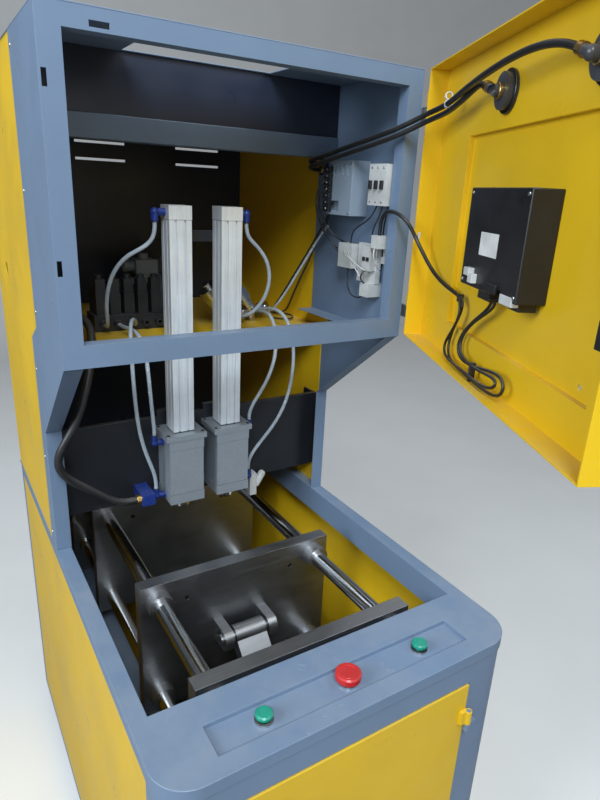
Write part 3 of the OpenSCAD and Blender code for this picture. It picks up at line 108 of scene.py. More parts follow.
WIRE_ROUTE = [(-224, -17, 117.5), (-231, -16, 107), (-226, -15, 90), (-212, -14, 72), (-198, -13, 44),
              (-202, -11, 22), (-240, -8, 14), (-310, -6, 14), (-390, -5, 14), (-432, -5, 20),
              (-444, -5, 36), (-430, -6, 50), (-380, -8, 44), (-320, -9, 32), (-268, -10, 28),
              (-244, -11, 40), (-248, -12, 62), (-276, -14, 88), (-312, -13, 108), (-342, -11, 124),
              (-352, -11, 136), (-352, -11, 142.1)]
SECOND_WIRE_ROUTE = [(-215.5, -14, 119), (-226, -12, 114), (-236, -11, 98), (-228, -10, 78), (-210, -9, 58),
                     (-190, -8, 36), (-200, -6, 19), (-246, -4, 17), (-306, -2, 20), (-378, 0, 20),
                     (-416, -1, 27), (-426, -2, 38), (-410, -3, 43), (-360, -4, 36), (-304, -5, 34),
                     (-266, -6, 42), (-264, -8, 66), (-292, -10, 92), (-330, -11, 112), (-360, -11, 128),
                     (-362, -11, 137), (-362, -11, 142.1)]
WIRE_R = 2.25

# Places of the frame parts that fasteners and fittings sit on, in millimetres
CAVITY_X = (-54, 54)
CAVITY_Y = 70
BLOCK_LOW, BLOCK_HIGH, BARREL_LOW, BARREL_HIGH = 865, 1012, 1024, 1458
BEAM_TOP = 1631
REAR_INSIDE = 558
HEAD_LOW = 810
SKIN_Y = -24
PRESSED_Y = -33
BUTTON_Y = -500
GAUGE_X = (-284, -528)
GAUGE_Z = 412
CONTROLLER = ((-464, -31, 151), (-272, 9, 287))


class MachineFinish(bpy.types.PropertyGroup):
    """Colours and sizes that a user would change."""

    frame_paint: FloatVectorProperty(
        name="Frame paint", description="Blue-grey powder coat of the frame", subtype="COLOR",
        default=(0.165, 0.235, 0.345), min=0, max=1)
    panel_paint: FloatVectorProperty(
        name="Panel paint", description="Yellow powder coat of doors and panels", subtype="COLOR",
        default=(0.80, 0.50, 0.012), min=0, max=1)
    start_colour: FloatVectorProperty(
        name="Start buttons", description="Colour of the two start buttons", subtype="COLOR",
        default=(0.010, 0.31, 0.21), min=0, max=1)
    stop_colour: FloatVectorProperty(
        name="Stop button", description="Colour of the stop button", subtype="COLOR",
        default=(0.60, 0.022, 0.022), min=0, max=1)
    door_angle: FloatProperty(
        name="Door angle", description="Angle at which the upper door stands open", subtype="ANGLE",
        default=math.radians(64), min=0, max=math.radians(110))
    tube_diameter: FloatProperty(
        name="Air tube", description="Outer diameter of the air tubes", unit="LENGTH",
        default=0.008, min=0.004, max=0.012)
    hose_diameter: FloatProperty(
        name="Blow hose", description="Outer diameter of the blow hose", unit="LENGTH",
        default=0.016, min=0.010, max=0.020)
    gauge_hose_diameter: FloatProperty(
        name="Gauge hose", description="Outer diameter of the two gauge hoses", unit="LENGTH",
        default=0.009, min=0.006, max=0.012)
    cable_diameter: FloatProperty(
        name="Control cable", description="Outer diameter of the control cable", unit="LENGTH",
        default=0.007, min=0.004, max=0.010)


class MachineStage(bpy.types.PropertyGroup):
    """Floor, light and camera."""

    floor_colour: FloatVectorProperty(
        name="Floor", description="Colour of floor and backdrop", subtype="COLOR",
        default=(0.86, 0.86, 0.85), min=0, max=1)
    sky: FloatProperty(
        name="Sky light", description="Strength of the light from all round", default=0.22, min=0, max=2)
    key: FloatProperty(
        name="Lamps", description="Power that the three soft lamps are scaled from", default=48, min=0, max=500)
    lens: FloatProperty(
        name="Lens", description="Focal length for a 36 mm long side", default=27.22, min=10, max=100)
    cord_sides: IntProperty(
        name="Cord sides", description="Sides of each cord's section", default=16, min=8, max=32)


def finish_props():
    return bpy.context.scene.machine_finish


def stage_props():
    return bpy.context.scene.machine_stage


# Places


def place(points):
    """Millimetres of the machine to metres."""
    return np.array(points, float) * MM


def door_place(points):
    """Millimetres beside the upper door's hinge line, as if the door were shut, to metres of the machine with
    the door open."""
    p = np.array(points, float) * MM
    a = finish_props().door_angle
    turned = np.stack([p[..., 0] * math.cos(a) - p[..., 1] * math.sin(a),
                       p[..., 0] * math.sin(a) + p[..., 1] * math.cos(a), p[..., 2]], axis=-1)
    return turned + np.array(HINGE)


PLACE_ON = {"upper_door": door_place}
LEG_STEPS = 6


def spline(route, per_leg=LEG_STEPS):
    """A uniform cubic B-spline with the route as its guide points. Each leg blends four neighbours with the
    weights (1-u)^3/6, (3u^3-6u^2+4)/6, (-3u^3+3u^2+3u+1)/6 and u^3/6, and the route is mirrored past both ends,
    so that the curve starts and stops exactly on them."""
    p = np.asarray(route, float)
    p = np.vstack([2 * p[0] - p[1], p, 2 * p[-1] - p[-2]])
    u = np.arange(per_leg)[:, None] / per_leg
    weights = [(1 - u) ** 3, 3 * u ** 3 - 6 * u * u + 4, -3 * u ** 3 + 3 * u * u + 3 * u + 1, u ** 3]
    legs = [sum(w * q for w, q in zip(weights, p[i:i + 4])) / 6 for i in range(len(p) - 3)]
    return np.vstack(legs + [p[-2:-1]])


# Meshes

SHARP_ANGLE = math.radians(35)
BEVEL_ANGLE = math.radians(40)
BOX_FACES = ((0, 1, 3, 2), (4, 6, 7, 5), (0, 4, 5, 1), (2, 3, 7, 6), (0, 2, 6, 4), (1, 5, 7, 3))


def grid_faces(rows, cols, wrap=False):
    """Quads of a grid of rows by cols points, row by row. With wrap the last column joins the first."""
    r = np.arange(rows - 1)[:, None] * cols
    c = np.arange(cols if wrap else cols - 1)[None, :]
    d = (c + 1) % cols
    return np.stack([r + c, r + d, r + cols + d, r + cols + c], axis=-1).reshape(-1, 4)


def mesh_object(name, points, faces, material):
    """A smooth mesh from arrays of points and lists of faces."""
    mesh = bpy.data.meshes.new(name)
    mesh.from_pydata(points.tolist(), [], faces)
    mesh.polygons.foreach_set("use_smooth", [True] * len(mesh.polygons))
    mesh.update()
    obj = bpy.data.objects.new(name, mesh)
    bpy.context.scene.collection.objects.link(obj)
    mesh.materials.append(material)
    return obj


def frames_along(path):
    """A side vector carried from ring to ring without twist, and the one square to it and to the path, whose
    tangents are central differences."""
    t = np.gradient(path, axis=0)
    t /= np.linalg.norm(t, axis=1)[:, None]
    side = np.cross(t[0], (0, 0, 1) if abs(t[0][2]) < 0.9 else (0, 1, 0))
    sides = []
    for tangent in t:
        side = side - tangent * (side @ tangent)
        side = side / np.linalg.norm(side)
        sides.append(side)
    s = np.array(sides)
    return s, np.cross(t, s)


def tube(name, path, radius, material, sides):
    """A circle of the given radius carried along the path: point(i, a) = path + radius (cos a side + sin a up).
    radius may be one number for each ring. Both ends are closed with a fan round their centre."""
    side, up = frames_along(path)
    n = len(path)
    a = np.linspace(0, 2 * math.pi, sides, endpoint=False)
    r = np.broadcast_to(np.asarray(radius, float), n)[:, None, None]
    ring = np.cos(a)[None, :, None] * side[:, None] + np.sin(a)[None, :, None] * up[:, None]
    points = np.vstack([(path[:, None] + r * ring).reshape(-1, 3), path[:1], path[-1:]])
    k = np.arange(sides)
    after, centre, last = (k + 1) % sides, np.full(sides, n * sides), (n - 1) * sides
    near_fan = np.stack([after, k, centre], axis=-1)
    far_fan = np.stack([last + k, last + after, centre + 1], axis=-1)
    faces = grid_faces(n, sides, wrap=True).tolist() + near_fan.tolist() + far_fan.tolist()
    obj = mesh_object(name, points, faces, material)
    lengths = np.concatenate([[0], np.cumsum(np.linalg.norm(np.diff(path, axis=0), axis=1))])
    along = np.concatenate([np.repeat(lengths, sides), [0, lengths[-1]]])
    layer = obj.data.uv_layers.new(name="along")
    index = np.zeros(len(obj.data.loops), np.int32)
    obj.data.loops.foreach_get("vertex_index", index)
    around = np.concatenate([np.tile(k / sides, n), [0.5, 0.5]])
    layer.data.foreach_set("uv", np.stack([around[index], along[index]], axis=-1).astype(np.float32).ravel())
    return obj


def turned_points(profile, foot, axis, sides):
    """A profile of (radius, height) pairs turned about the axis that stands on foot, all in millimetres:
    point = foot + height axis + radius (cos a e1 + sin a e2)."""
    axis = np.array(axis, float) / np.linalg.norm(axis)
    e1 = np.cross(axis, (0, 0, 1) if abs(axis[2]) < 0.9 else (1, 0, 0))
    e1 /= np.linalg.norm(e1)
    e2 = np.cross(axis, e1)
    a = (np.arange(sides) + 0.5) * 2 * math.pi / sides
    r, h = np.array(profile, float).T[:, :, None, None]
    ring = np.cos(a)[None, :, None] * e1 + np.sin(a)[None, :, None] * e2
    return (np.array(foot, float) + h * axis + r * ring).reshape(-1, 3)


def turned(name, places, finish, sides=24, body="root"):
    """Turned pieces as one object that rides on a body: places is a list of (profile, foot, axis). Points of no
    radius are merged, so that a profile which starts or ends on its axis is closed."""
    points, faces = [], []
    for profile, foot, axis in places:
        faces.append(grid_faces(len(profile), sides, wrap=True) + sum(len(q) for q in points))
        points.append(turned_points(profile, foot, axis, sides))
    mesh = bpy.data.meshes.new(name + "_draft")
    mesh.from_pydata(PLACE_ON.get(body, place)(np.vstack(points)).tolist(), [], np.vstack(faces).tolist())
    bm = bmesh.new()
    bm.from_mesh(mesh)
    bpy.data.meshes.remove(mesh)
    bmesh.ops.remove_doubles(bm, verts=bm.verts, dist=1e-7)
    bmesh.ops.recalc_face_normals(bm, faces=bm.faces)
    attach(finish_bmesh(name, bm, material(finish)), body)


def cap_screw(r):
    """Head of a socket screw, from its seat to the bottom of the socket."""
    return [(r, -0.2), (r, 0.85 * r), (0.9 * r, r), (0.52 * r, r), (0.52 * r, 0.4 * r), (0, 0.4 * r)]


def pan_screw(r):
    """Domed head with a shallow round recess."""
    return [(r, -0.2), (r, 0.12 * r), (0.86 * r, 0.4 * r), (0.5 * r, 0.58 * r), (0.28 * r, 0.6 * r),
            (0.22 * r, 0.34 * r), (0, 0.3 * r)]


def disc(r, h, edge=0.4):
    """A plain disc with a broken edge."""
    return [(0, 0), (r, 0), (r, h - edge), (r - edge, h), (0, h)]


def hoop(inner, outer, h, edge=0.6):
    """A ring of that height with broken upper edges."""
    return [(inner, 0), (outer, 0), (outer, h - edge), (outer - edge, h), (inner + edge, h),
            (inner, h - edge), (inner, 0)]


def finish_bmesh(name, bm, material):
    mesh = bpy.data.meshes.new(name)
    bm.to_mesh(mesh)
    bm.free()
    mesh.polygons.foreach_set("use_smooth", [True] * len(mesh.polygons))
    mesh.set_sharp_from_angle(angle=SHARP_ANGLE)
    mesh.update()
    obj = bpy.data.objects.new(name, mesh)
    bpy.context.scene.collection.objects.link(obj)
    mesh.materials.append(material)
    return obj


def blocks(name, corners, finish, bevel=0.6, body="root"):
    """Boxes with rounded edges as one object that rides on a body: corners is a list of (low, high) in
    millimetres."""
    bm = bmesh.new()
    for low, high in corners:
        box = np.stack(np.meshgrid(*zip(low, high), indexing="ij"), axis=-1).reshape(-1, 3)
        verts = [bm.verts.new(p) for p in PLACE_ON.get(body, place)(box)]
        for face in BOX_FACES:
            bm.faces.new([verts[i] for i in face])
    bmesh.ops.recalc_face_normals(bm, faces=bm.faces)
    obj = finish_bmesh(name, bm, material(finish))
    soften(obj, bevel * MM)
    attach(obj, body)


def soften(obj, width):
    """A round of two steps along every edge sharper than the bevel's angle. Flat faces keep flat shading."""
    bevel = obj.modifiers.new("edge_radius", "BEVEL")
    bevel.width = width
    bevel.segments = 2
    bevel.limit_method = "ANGLE"
    bevel.angle_limit = BEVEL_ANGLE
    bevel.harden_normals = True
    bevel.use_clamp_overlap = True
    flat = obj.modifiers.new("flat_faces", "WEIGHTED_NORMAL")
    flat.keep_sharp = True


def rounded_copy(node, radius):
    """A copy of a CAD node with its folded edges rounded: its loose triangles are merged, flat faces are joined
    again, and a bevel of the fold's radius runs along every sharp edge."""
    bm = bmesh.new()
    bm.from_mesh(frame["nodes"][node].data)
    bmesh.ops.remove_doubles(bm, verts=bm.verts, dist=2e-6)
    bmesh.ops.dissolve_limit(bm, angle_limit=math.radians(0.6), verts=bm.verts, edges=bm.edges)
    obj = finish_bmesh(node + "_folded", bm, material(SLOT_OF[node]))
    soften(obj, radius * MM)
    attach(obj, BODY_OF[node])
    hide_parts(node)
    return obj


# Materials

COLOUR, NUMBER = "NodeSocketColor", "NodeSocketFloat"
SKIN_OUTPUTS = (("Colour", COLOUR), ("Roughness", NUMBER), ("Height", NUMBER))
DUST_COLOUR = (0.46, 0.44, 0.41, 1)
BARE_COLOUR = (0.62, 0.63, 0.64, 1)
GROUPS = {}
MATERIALS = {}


class Nodes:
    """Short hand for building a node tree."""

    def __init__(self, tree):
        self.tree = tree

    def feed(self, sockets, values):
        """Links each output to its socket, or sets the socket's own value."""
        for key, value in values.items():
            if isinstance(value, bpy.types.NodeSocket):
                self.tree.links.new(value, sockets[key])
            else:
                sockets[key].default_value = value

    def add(self, kind, inputs=None, **values):
        node = self.tree.nodes.new(kind)
        for key, value in values.items():
            setattr(node, key, value)
        self.feed(node.inputs, inputs or {})
        return node

    def group(self, name, inputs):
        if name not in GROUPS:
            GROUPS[name] = GROUP_MAKERS[name](name)
        return self.add("ShaderNodeGroup", inputs, node_tree=GROUPS[name]).outputs

    def object_coords(self, scale=(1, 1, 1), turn=(0, 0, 0)):
        coords = self.add("ShaderNodeTexCoord").outputs["Object"]
        inputs = {"Vector": coords, "Scale": scale, "Rotation": turn}
        return self.add("ShaderNodeMapping", inputs).outputs["Vector"]

    def noise(self, vector, scale, detail=2, roughness=0.5, distortion=0):
        return self.add("ShaderNodeTexNoise", {
            "Vector": vector, "Scale": scale, "Detail": detail, "Roughness": roughness,
            "Distortion": distortion}).outputs["Fac"]

    def span(self, value, low, high, to_low=0, to_high=1):
        return self.add("ShaderNodeMapRange", {
            "Value": value, "From Min": low, "From Max": high, "To Min": to_low,
            "To Max": to_high}).outputs["Result"]

    def maths(self, operation, a, b):
        return self.add("ShaderNodeMath", {0: a, 1: b}, operation=operation).outputs[0]

    def mix(self, factor, a, b, blend="MIX"):
        return self.add("ShaderNodeMix", {0: factor, 6: a, 7: b}, data_type="RGBA", blend_type=blend).outputs[2]

    def tinted(self, colour, shade):
        """The colour times a grey of that shade."""
        grey = self.add("ShaderNodeCombineColor", {0: shade, 1: shade, 2: shade}).outputs[0]
        return self.mix(1.0, colour, grey, "MULTIPLY")


def new_group(name, given, results=SKIN_OUTPUTS):
    """An empty node group, given as (label, kind) of its inputs and outputs."""
    group = bpy.data.node_groups.new(name, "ShaderNodeTree")
    for side, sockets in (("INPUT", given), ("OUTPUT", results)):
        for label, kind in sockets:
            group.interface.new_socket(name=label, in_out=side, socket_type=kind)
    n = Nodes(group)
    return group, n, n.add("NodeGroupInput").outputs, n.add("NodeGroupOutput").inputs


def dust_group(name):
    """Dust that settles on faces that look up: Normal's height times a cloudy noise."""
    group, n, given, out = new_group(
        name, (("Colour", COLOUR), ("Amount", NUMBER)), (("Colour", COLOUR), ("Mask", NUMBER)))
    normal = n.add("ShaderNodeSeparateXYZ", {0: n.add("ShaderNodeNewGeometry").outputs["Normal"]})
    up = n.span(normal.outputs["Z"], 0.35, 0.95)
    cloud = n.span(n.noise(n.object_coords(), 7, 5, 0.65), 0.38, 0.72)
    mask = n.maths("MULTIPLY", n.maths("MULTIPLY", up, cloud), given["Amount"])
    n.feed(out, {"Colour": n.mix(mask, given["Colour"], DUST_COLOUR), "Mask": mask})
    return group


def powder_group(name):
    """Powder coat: slow mottling of the colour, orange-peel skin and a few pale rubbed marks."""
    group, n, given, out = new_group(
        name, (("Colour", COLOUR), ("Mottle", NUMBER), ("Rubbed", NUMBER)))
    flat = n.object_coords()
    shade = n.span(n.noise(flat, 2.6, 4, 0.6), 0.3, 0.7, 0.80, 1.12)
    mottled = n.mix(given["Mottle"], given["Colour"], n.tinted(given["Colour"], shade))
    marks = n.noise(n.object_coords((1.0, 1.0, 5.5), (0.4, 0.3, 0.9)), 46, 6, 0.72, 1.4)
    patch = n.span(n.noise(flat, 5.2, 2), 0.52, 0.66)
    rubbed = n.maths("MULTIPLY", n.maths("MULTIPLY", n.span(marks, 0.62, 0.70), patch), given["Rubbed"])
    smear = n.span(n.noise(flat, 11, 4, 0.6), 0.3, 0.75, 0.27, 0.46)
    peel = n.noise(flat, 620, 2, 0.45)
    ripple = n.noise(flat, 70, 2, 0.4)
    n.feed(out, {"Colour": n.mix(rubbed, mottled, BARE_COLOUR),
                 "Roughness": n.maths("ADD", smear, n.maths("MULTIPLY", rubbed, 0.3)),
                 "Height": n.maths("ADD", peel, n.maths("MULTIPLY", ripple, 1.4))})
    return group


def grain_group(name):
    """Grain of drawn, brushed or turned metal: noise that is stretched by its Vector's scale."""
    group, n, given, out = new_group(
        name, (("Vector", "NodeSocketVector"), ("Colour", COLOUR), ("Low", NUMBER), ("High", NUMBER)))
    fine = n.noise(given["Vector"], 1.0, 4, 0.62)
    stain = n.noise(n.object_coords(), 16, 4, 0.6)
    shade = n.maths("ADD", n.span(fine, 0.3, 0.7, 0.88, 1.06), n.span(stain, 0.35, 0.7, 0.0, -0.12))
    both = n.maths("MULTIPLY", n.maths("ADD", fine, stain), 0.5)
    n.feed(out, {"Colour": n.tinted(given["Colour"], shade), "Height": fine,
                 "Roughness": n.span(both, 0.3, 0.7, given["Low"], given["High"])})
    return group


def moulding_group(name):
    """Moulded plastic or rubber: spark-eroded skin with dull, slightly uneven gloss."""
    group, n, given, out = new_group(
        name, (("Colour", COLOUR), ("Dullness", NUMBER), ("Skin scale", NUMBER)))
    flat = n.object_coords()
    cloud = n.noise(flat, 22, 4, 0.6)
    n.feed(out, {"Colour": n.tinted(given["Colour"], n.span(cloud, 0.3, 0.7, 0.82, 1.14)),
                 "Roughness": n.maths("ADD", given["Dullness"], n.span(cloud, 0.3, 0.7, -0.07, 0.09)),
                 "Height": n.noise(flat, given["Skin scale"])})
    return group


GROUP_MAKERS = {"settled_dust": dust_group, "powder_coat": powder_group, "metal_grain": grain_group,
                "moulded_skin": moulding_group}


def begin_material(name, **plain):
    """A material with a Principled shader whose plain values are set on the shader's own sockets."""
    material = bpy.data.materials.new(name)
    material.use_nodes = True
    n = Nodes(material.node_tree)
    sockets = material.node_tree.nodes["Principled BSDF"].inputs
    n.feed(sockets, {key.replace("_", " "): value for key, value in plain.items()})
    return material, n, sockets


def skinned(name, group, given, relief, dust, dulling, grain=None, **plain):
    """A finish whose colour, gloss and bump come from a skin group. Dust lies over it and dulls it, and grain
    stretches the pattern of a metal."""
    material, n, sockets = begin_material(name, **plain)
    if grain:
        given["Vector"] = n.object_coords(grain)
    skin = n.group(group, given)
    tone, rough = skin["Colour"], skin["Roughness"]
    if dust:
        settled = n.group("settled_dust", {"Colour": tone, "Amount": dust})
        tone = settled["Colour"]
        if dulling:
            rough = n.maths("ADD", rough, n.maths("MULTIPLY", settled["Mask"], dulling))
    bump = n.add("ShaderNodeBump", {"Strength": 1.0, "Distance": relief, "Height": skin["Height"]})
    n.feed(sockets, {"Base Color": tone, "Roughness": rough, "Normal": bump.outputs["Normal"]})
    return material


def painted(name, colour, rubbed=0.25, dust=0.25):
    given = {"Colour": (*colour, 1), "Mottle": 0.5, "Rubbed": rubbed}
    return skinned(name, "powder_coat", given, 0.00006, dust, 0.5, Specular_IOR_Level=0.45, Coat_Roughness=0.18)


def metal(name, colour, grain, low, high, dust=0.0, relief=0.00002, metallic=1.0):
    given = {"Colour": (*colour, 1), "Low": low, "High": high}
    return skinned(name, "metal_grain", given, relief, dust, 0.0, grain, Metallic=metallic)


def moulded(name, colour, dullness=0.45, skin_scale=1400.0, dust=0.2, relief=0.00003, **plain):
    given = {"Colour": (*colour, 1), "Dullness": dullness, "Skin scale": skin_scale}
    return skinned(name, "moulded_skin", given, relief, dust, 0.3, **plain)


def material(name):
    """The machine's finishes by name, each made once."""
    if name in MATERIALS:
        return MATERIALS[name]
    props = finish_props()
    makers = {
        "blue_paint": lambda: painted(name, props.frame_paint),
        "yellow_paint": lambda: painted(name, props.panel_paint, rubbed=0.12),
        "dark_paint": lambda: painted(name, (0.014, 0.016, 0.020), rubbed=0.2),
        # painted shade: a dark navy that stands in for the shadow inside the head, on the beam's upper sheet and
        # the rear panel's inside
        "dark_blue_paint": lambda: painted(name, (0.020, 0.028, 0.052), rubbed=0.03, dust=0.1),
        "grey_paint": lambda: painted(name, (0.065, 0.074, 0.088)),
        "shell_paint": lambda: painted(name, (0.30, 0.37, 0.45), rubbed=0.05),
        "gauge_metal": lambda: painted(name, (0.05, 0.053, 0.06)),
        "drawn_aluminium": lambda: metal(name, (0.88, 0.93, 0.98), (260, 260, 9), 0.30, 0.44, relief=0.00001,
                                         metallic=0.3),
        "cast_aluminium": lambda: metal(name, (0.40, 0.45, 0.50), (420, 420, 420), 0.38, 0.58, dust=0.1,
                                        metallic=0.55),
        "hard_chrome": lambda: metal(name, (0.66, 0.67, 0.68), (30, 700, 30), 0.08, 0.22),
        "polished_steel": lambda: metal(name, (0.60, 0.61, 0.62), (90, 90, 900), 0.12, 0.30),
        "machined_steel": lambda: metal(name, (0.36, 0.37, 0.385), (14, 420, 420), 0.28, 0.50, dust=0.25),
        "zinc_steel": lambda: metal(name, (0.50, 0.52, 0.54), (240, 240, 240), 0.28, 0.48, dust=0.1),
        "black_oxide": lambda: metal(name, (0.06, 0.062, 0.068), (300, 300, 300), 0.30, 0.50),
        "brass": lambda: metal(name, (0.62, 0.42, 0.16), (200, 200, 200), 0.22, 0.38),
        "valve_plastic": lambda: moulded(name, (0.016, 0.017, 0.020)),
        "grey_plastic": lambda: moulded(name, (0.15, 0.165, 0.18)),
        "light_plastic": lambda: moulded(name, (0.55, 0.56, 0.55), dust=0.12),
        "blue_plastic": lambda: moulded(name, (0.012, 0.035, 0.21), 0.24, dust=0.1),
        "black_plastic": lambda: moulded(name, (0.011, 0.011, 0.013), 0.38, dust=0.2),
        "green_plastic": lambda: moulded(name, props.start_colour, 0.26, dust=0.08),
        "red_plastic": lambda: moulded(name, props.stop_colour, 0.26, dust=0.08),
        "dark_ring": lambda: moulded(name, (0.02, 0.03, 0.07), 0.3, dust=0.05),
        "white_field": lambda: moulded(name, (0.72, 0.72, 0.70), 0.5, dust=0.05),
        "hose_rubber": lambda: moulded(name, (0.012, 0.012, 0.013), 0.42, 900.0, dust=0.35),
        "clear_tube": lambda: moulded(name, (0.60, 0.68, 0.76), 0.20, dust=0.0, Transmission_Weight=0.35,
                                      IOR=1.45),
        "dark_glass": lambda: moulded(name, (0.010, 0.016, 0.014), 0.10, dust=0.05),
        "clear_pane": lambda: moulded(name, (0.9, 0.92, 0.92), 0.04, dust=0.0, relief=0.0,
                                      Transmission_Weight=0.95),
    }
    MATERIALS[name] = makers[name]()
    return MATERIALS[name]


# Cords


def lay_cord(name, route, diameter, finish, node, body=None, radius=None):
    """A cord along the spline of its route. Without a body it is attached to none."""
    path = spline(route)
    obj = tube(name, path, diameter / 2 if radius is None else radius, material(finish),
               stage_props().cord_sides)
    if body:
        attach(obj, body)
    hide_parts(node)
    return obj


def over_the_hinge(obj):
    """Bakes the cord's transform into its mesh. The cord runs from the frame to the door as it stands open, and
    rides on no body.
    """
    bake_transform(obj)


class MACHINE_OT_air_tubes(bpy.types.Operator):
    """Lays the six air tubes of the stretch and seal cylinders"""

    bl_idname = "machine.air_tubes"
    bl_label = "Air tubes"

    def execute(self, context):
        diameter = finish_props().tube_diameter
        for i, route in enumerate(TUBE_ROUTES):
            lay_cord(f"air_tube_{i + 1}", place(route), diameter, "clear_tube", "air_tubes", "root")
        return {"FINISHED"}


class MACHINE_OT_blow_hose(bpy.types.Operator):
    """Lays the thick blow hose that leaves the head on the left"""

    bl_idname = "machine.blow_hose"
    bl_label = "Blow hose"

    def execute(self, context):
        diameter = finish_props().hose_diameter
        lay_cord("blow_air_hose", place(BLOW_HOSE_ROUTE), diameter, "hose_rubber", "blow_hose", "root")
        return {"FINISHED"}


class MACHINE_OT_door_cords(bpy.types.Operator):
    """Lays the two gauge hoses and the control cable, which cross to the upper door"""

    bl_idname = "machine.door_cords"
    bl_label = "Hoses and cable to the door"

    def execute(self, context):
        props = finish_props()
        for label, shift, end in (("far", HOSE_APART, FAR_HOSE_END), ("near", -HOSE_APART, NEAR_HOSE_END)):
            start = place([(x, y, HOSE_START_Z + z + shift) for x, y, z in HOSE_START])
            route = np.vstack([start, door_place(end)])
            over_the_hinge(lay_cord(f"gauge_hose_{label}", route, props.gauge_hose_diameter, "hose_rubber",
                                    "gauge_hoses"))
        route = np.vstack([place(CABLE_START), door_place(SLEEVE_END + WIRE_ROUTE)])
        sleeve = (len(CABLE_START) + len(SLEEVE_END)) * LEG_STEPS - LEG_STEPS // 2
        radius = np.full(LEG_STEPS * (len(route) - 1) + 1, WIRE_R * MM)
        radius[:sleeve] = props.cable_diameter / 2
        over_the_hinge(lay_cord("controller_cable", route, props.cable_diameter, "hose_rubber",
                                "control_cable", radius=radius))
        lay_cord("controller_wire", door_place(SECOND_WIRE_ROUTE), 2 * WIRE_R * MM, "hose_rubber",
                 "control_cable", "upper_door")
        return {"FINISHED"}


# Finishes of the frame and its folded sheets

FOLD_RADIUS = {
    "base_cabinet": 1.8, "table_top": 1.6, "control_tray": 1.2, "side_frame_left": 1.4,
    "side_frame_right": 1.4, "head_front_frame": 1.2, "head_roof": 0.8, "cross_beam": 1.6,
    "upper_door": 1.8, "front_door": 1.6, "lower_side_panels": 1.2, "rear_panels": 0.6, "valve_shelf": 1.0,
    "power_supply": 0.7, "controller_box": 1.6, "controller_face": 1.0, "rail_units": 0.8,
    "cylinder_mount_plate": 0.8, "cylinder_adapters": 0.6, "seal_block_left": 1.0, "seal_block_right": 1.0,
    "foot_plates": 0.8, "end_plates": 1.2, "platen_front": 1.2, "platen_rear": 1.2, "crosshead": 1.5,
    "barrel_bracket": 0.5,
}


class MACHINE_OT_folded_sheets(bpy.types.Operator):
    """Puts a copy with rounded folds and edges in place of each sheet and plate part, and lays painted shade
    inside the head
    """

    bl_idname = "machine.folded_sheets"
    bl_label = "Folded sheets and plates"

    def execute(self, context):
        for node, radius in FOLD_RADIUS.items():
            obj = rounded_copy(node, radius)
            # The beam's upper sheet and the rear panel's inside in the head get a dark navy that is painted shade.
            if node == "cross_beam":
                self.paint_shade(obj, lambda x, y, z: z > BEAM_TOP * MM + 0.001)
            elif node == "rear_panels":
                self.paint_shade(obj, lambda x, y, z: (y < REAR_INSIDE * MM + 0.0005) & (z > HEAD_LOW * MM))
        return {"FINISHED"}

    def paint_shade(self, obj, chosen):
        """Painted shade: dark navy paint on the faces whose middle is chosen, the sheet that stands on the beam
        and the inside of the rear panel above the head's bottom, where the shadow inside the head falls."""
        obj.data.materials.append(material("dark_blue_paint"))
        middle = np.zeros(3 * len(obj.data.polygons))
        obj.data.polygons.foreach_get("center", middle)
        obj.data.polygons.foreach_set("material_index", chosen(*middle.reshape(-1, 3).T).astype(np.int32))


class MACHINE_OT_carried_finishes(bpy.types.Operator):
    """Gives every part of the frame its finish"""

    bl_idname = "machine.carried_finishes"
    bl_label = "Finishes of the frame"

    def execute(self, context):
        for node, obj in frame["nodes"].items():
            obj.data.materials.clear()
            obj.data.materials.append(material(SLOT_OF[node]))
        return {"FINISHED"}


# Small parts that the frame doesn't carry

FRONT, INWARD, UP, DOWN = (0, -1, 0), (0, 1, 0), (0, 0, 1), (0, 0, -1)
TO_LEFT, TO_RIGHT = (-1, 0, 0), (1, 0, 0)


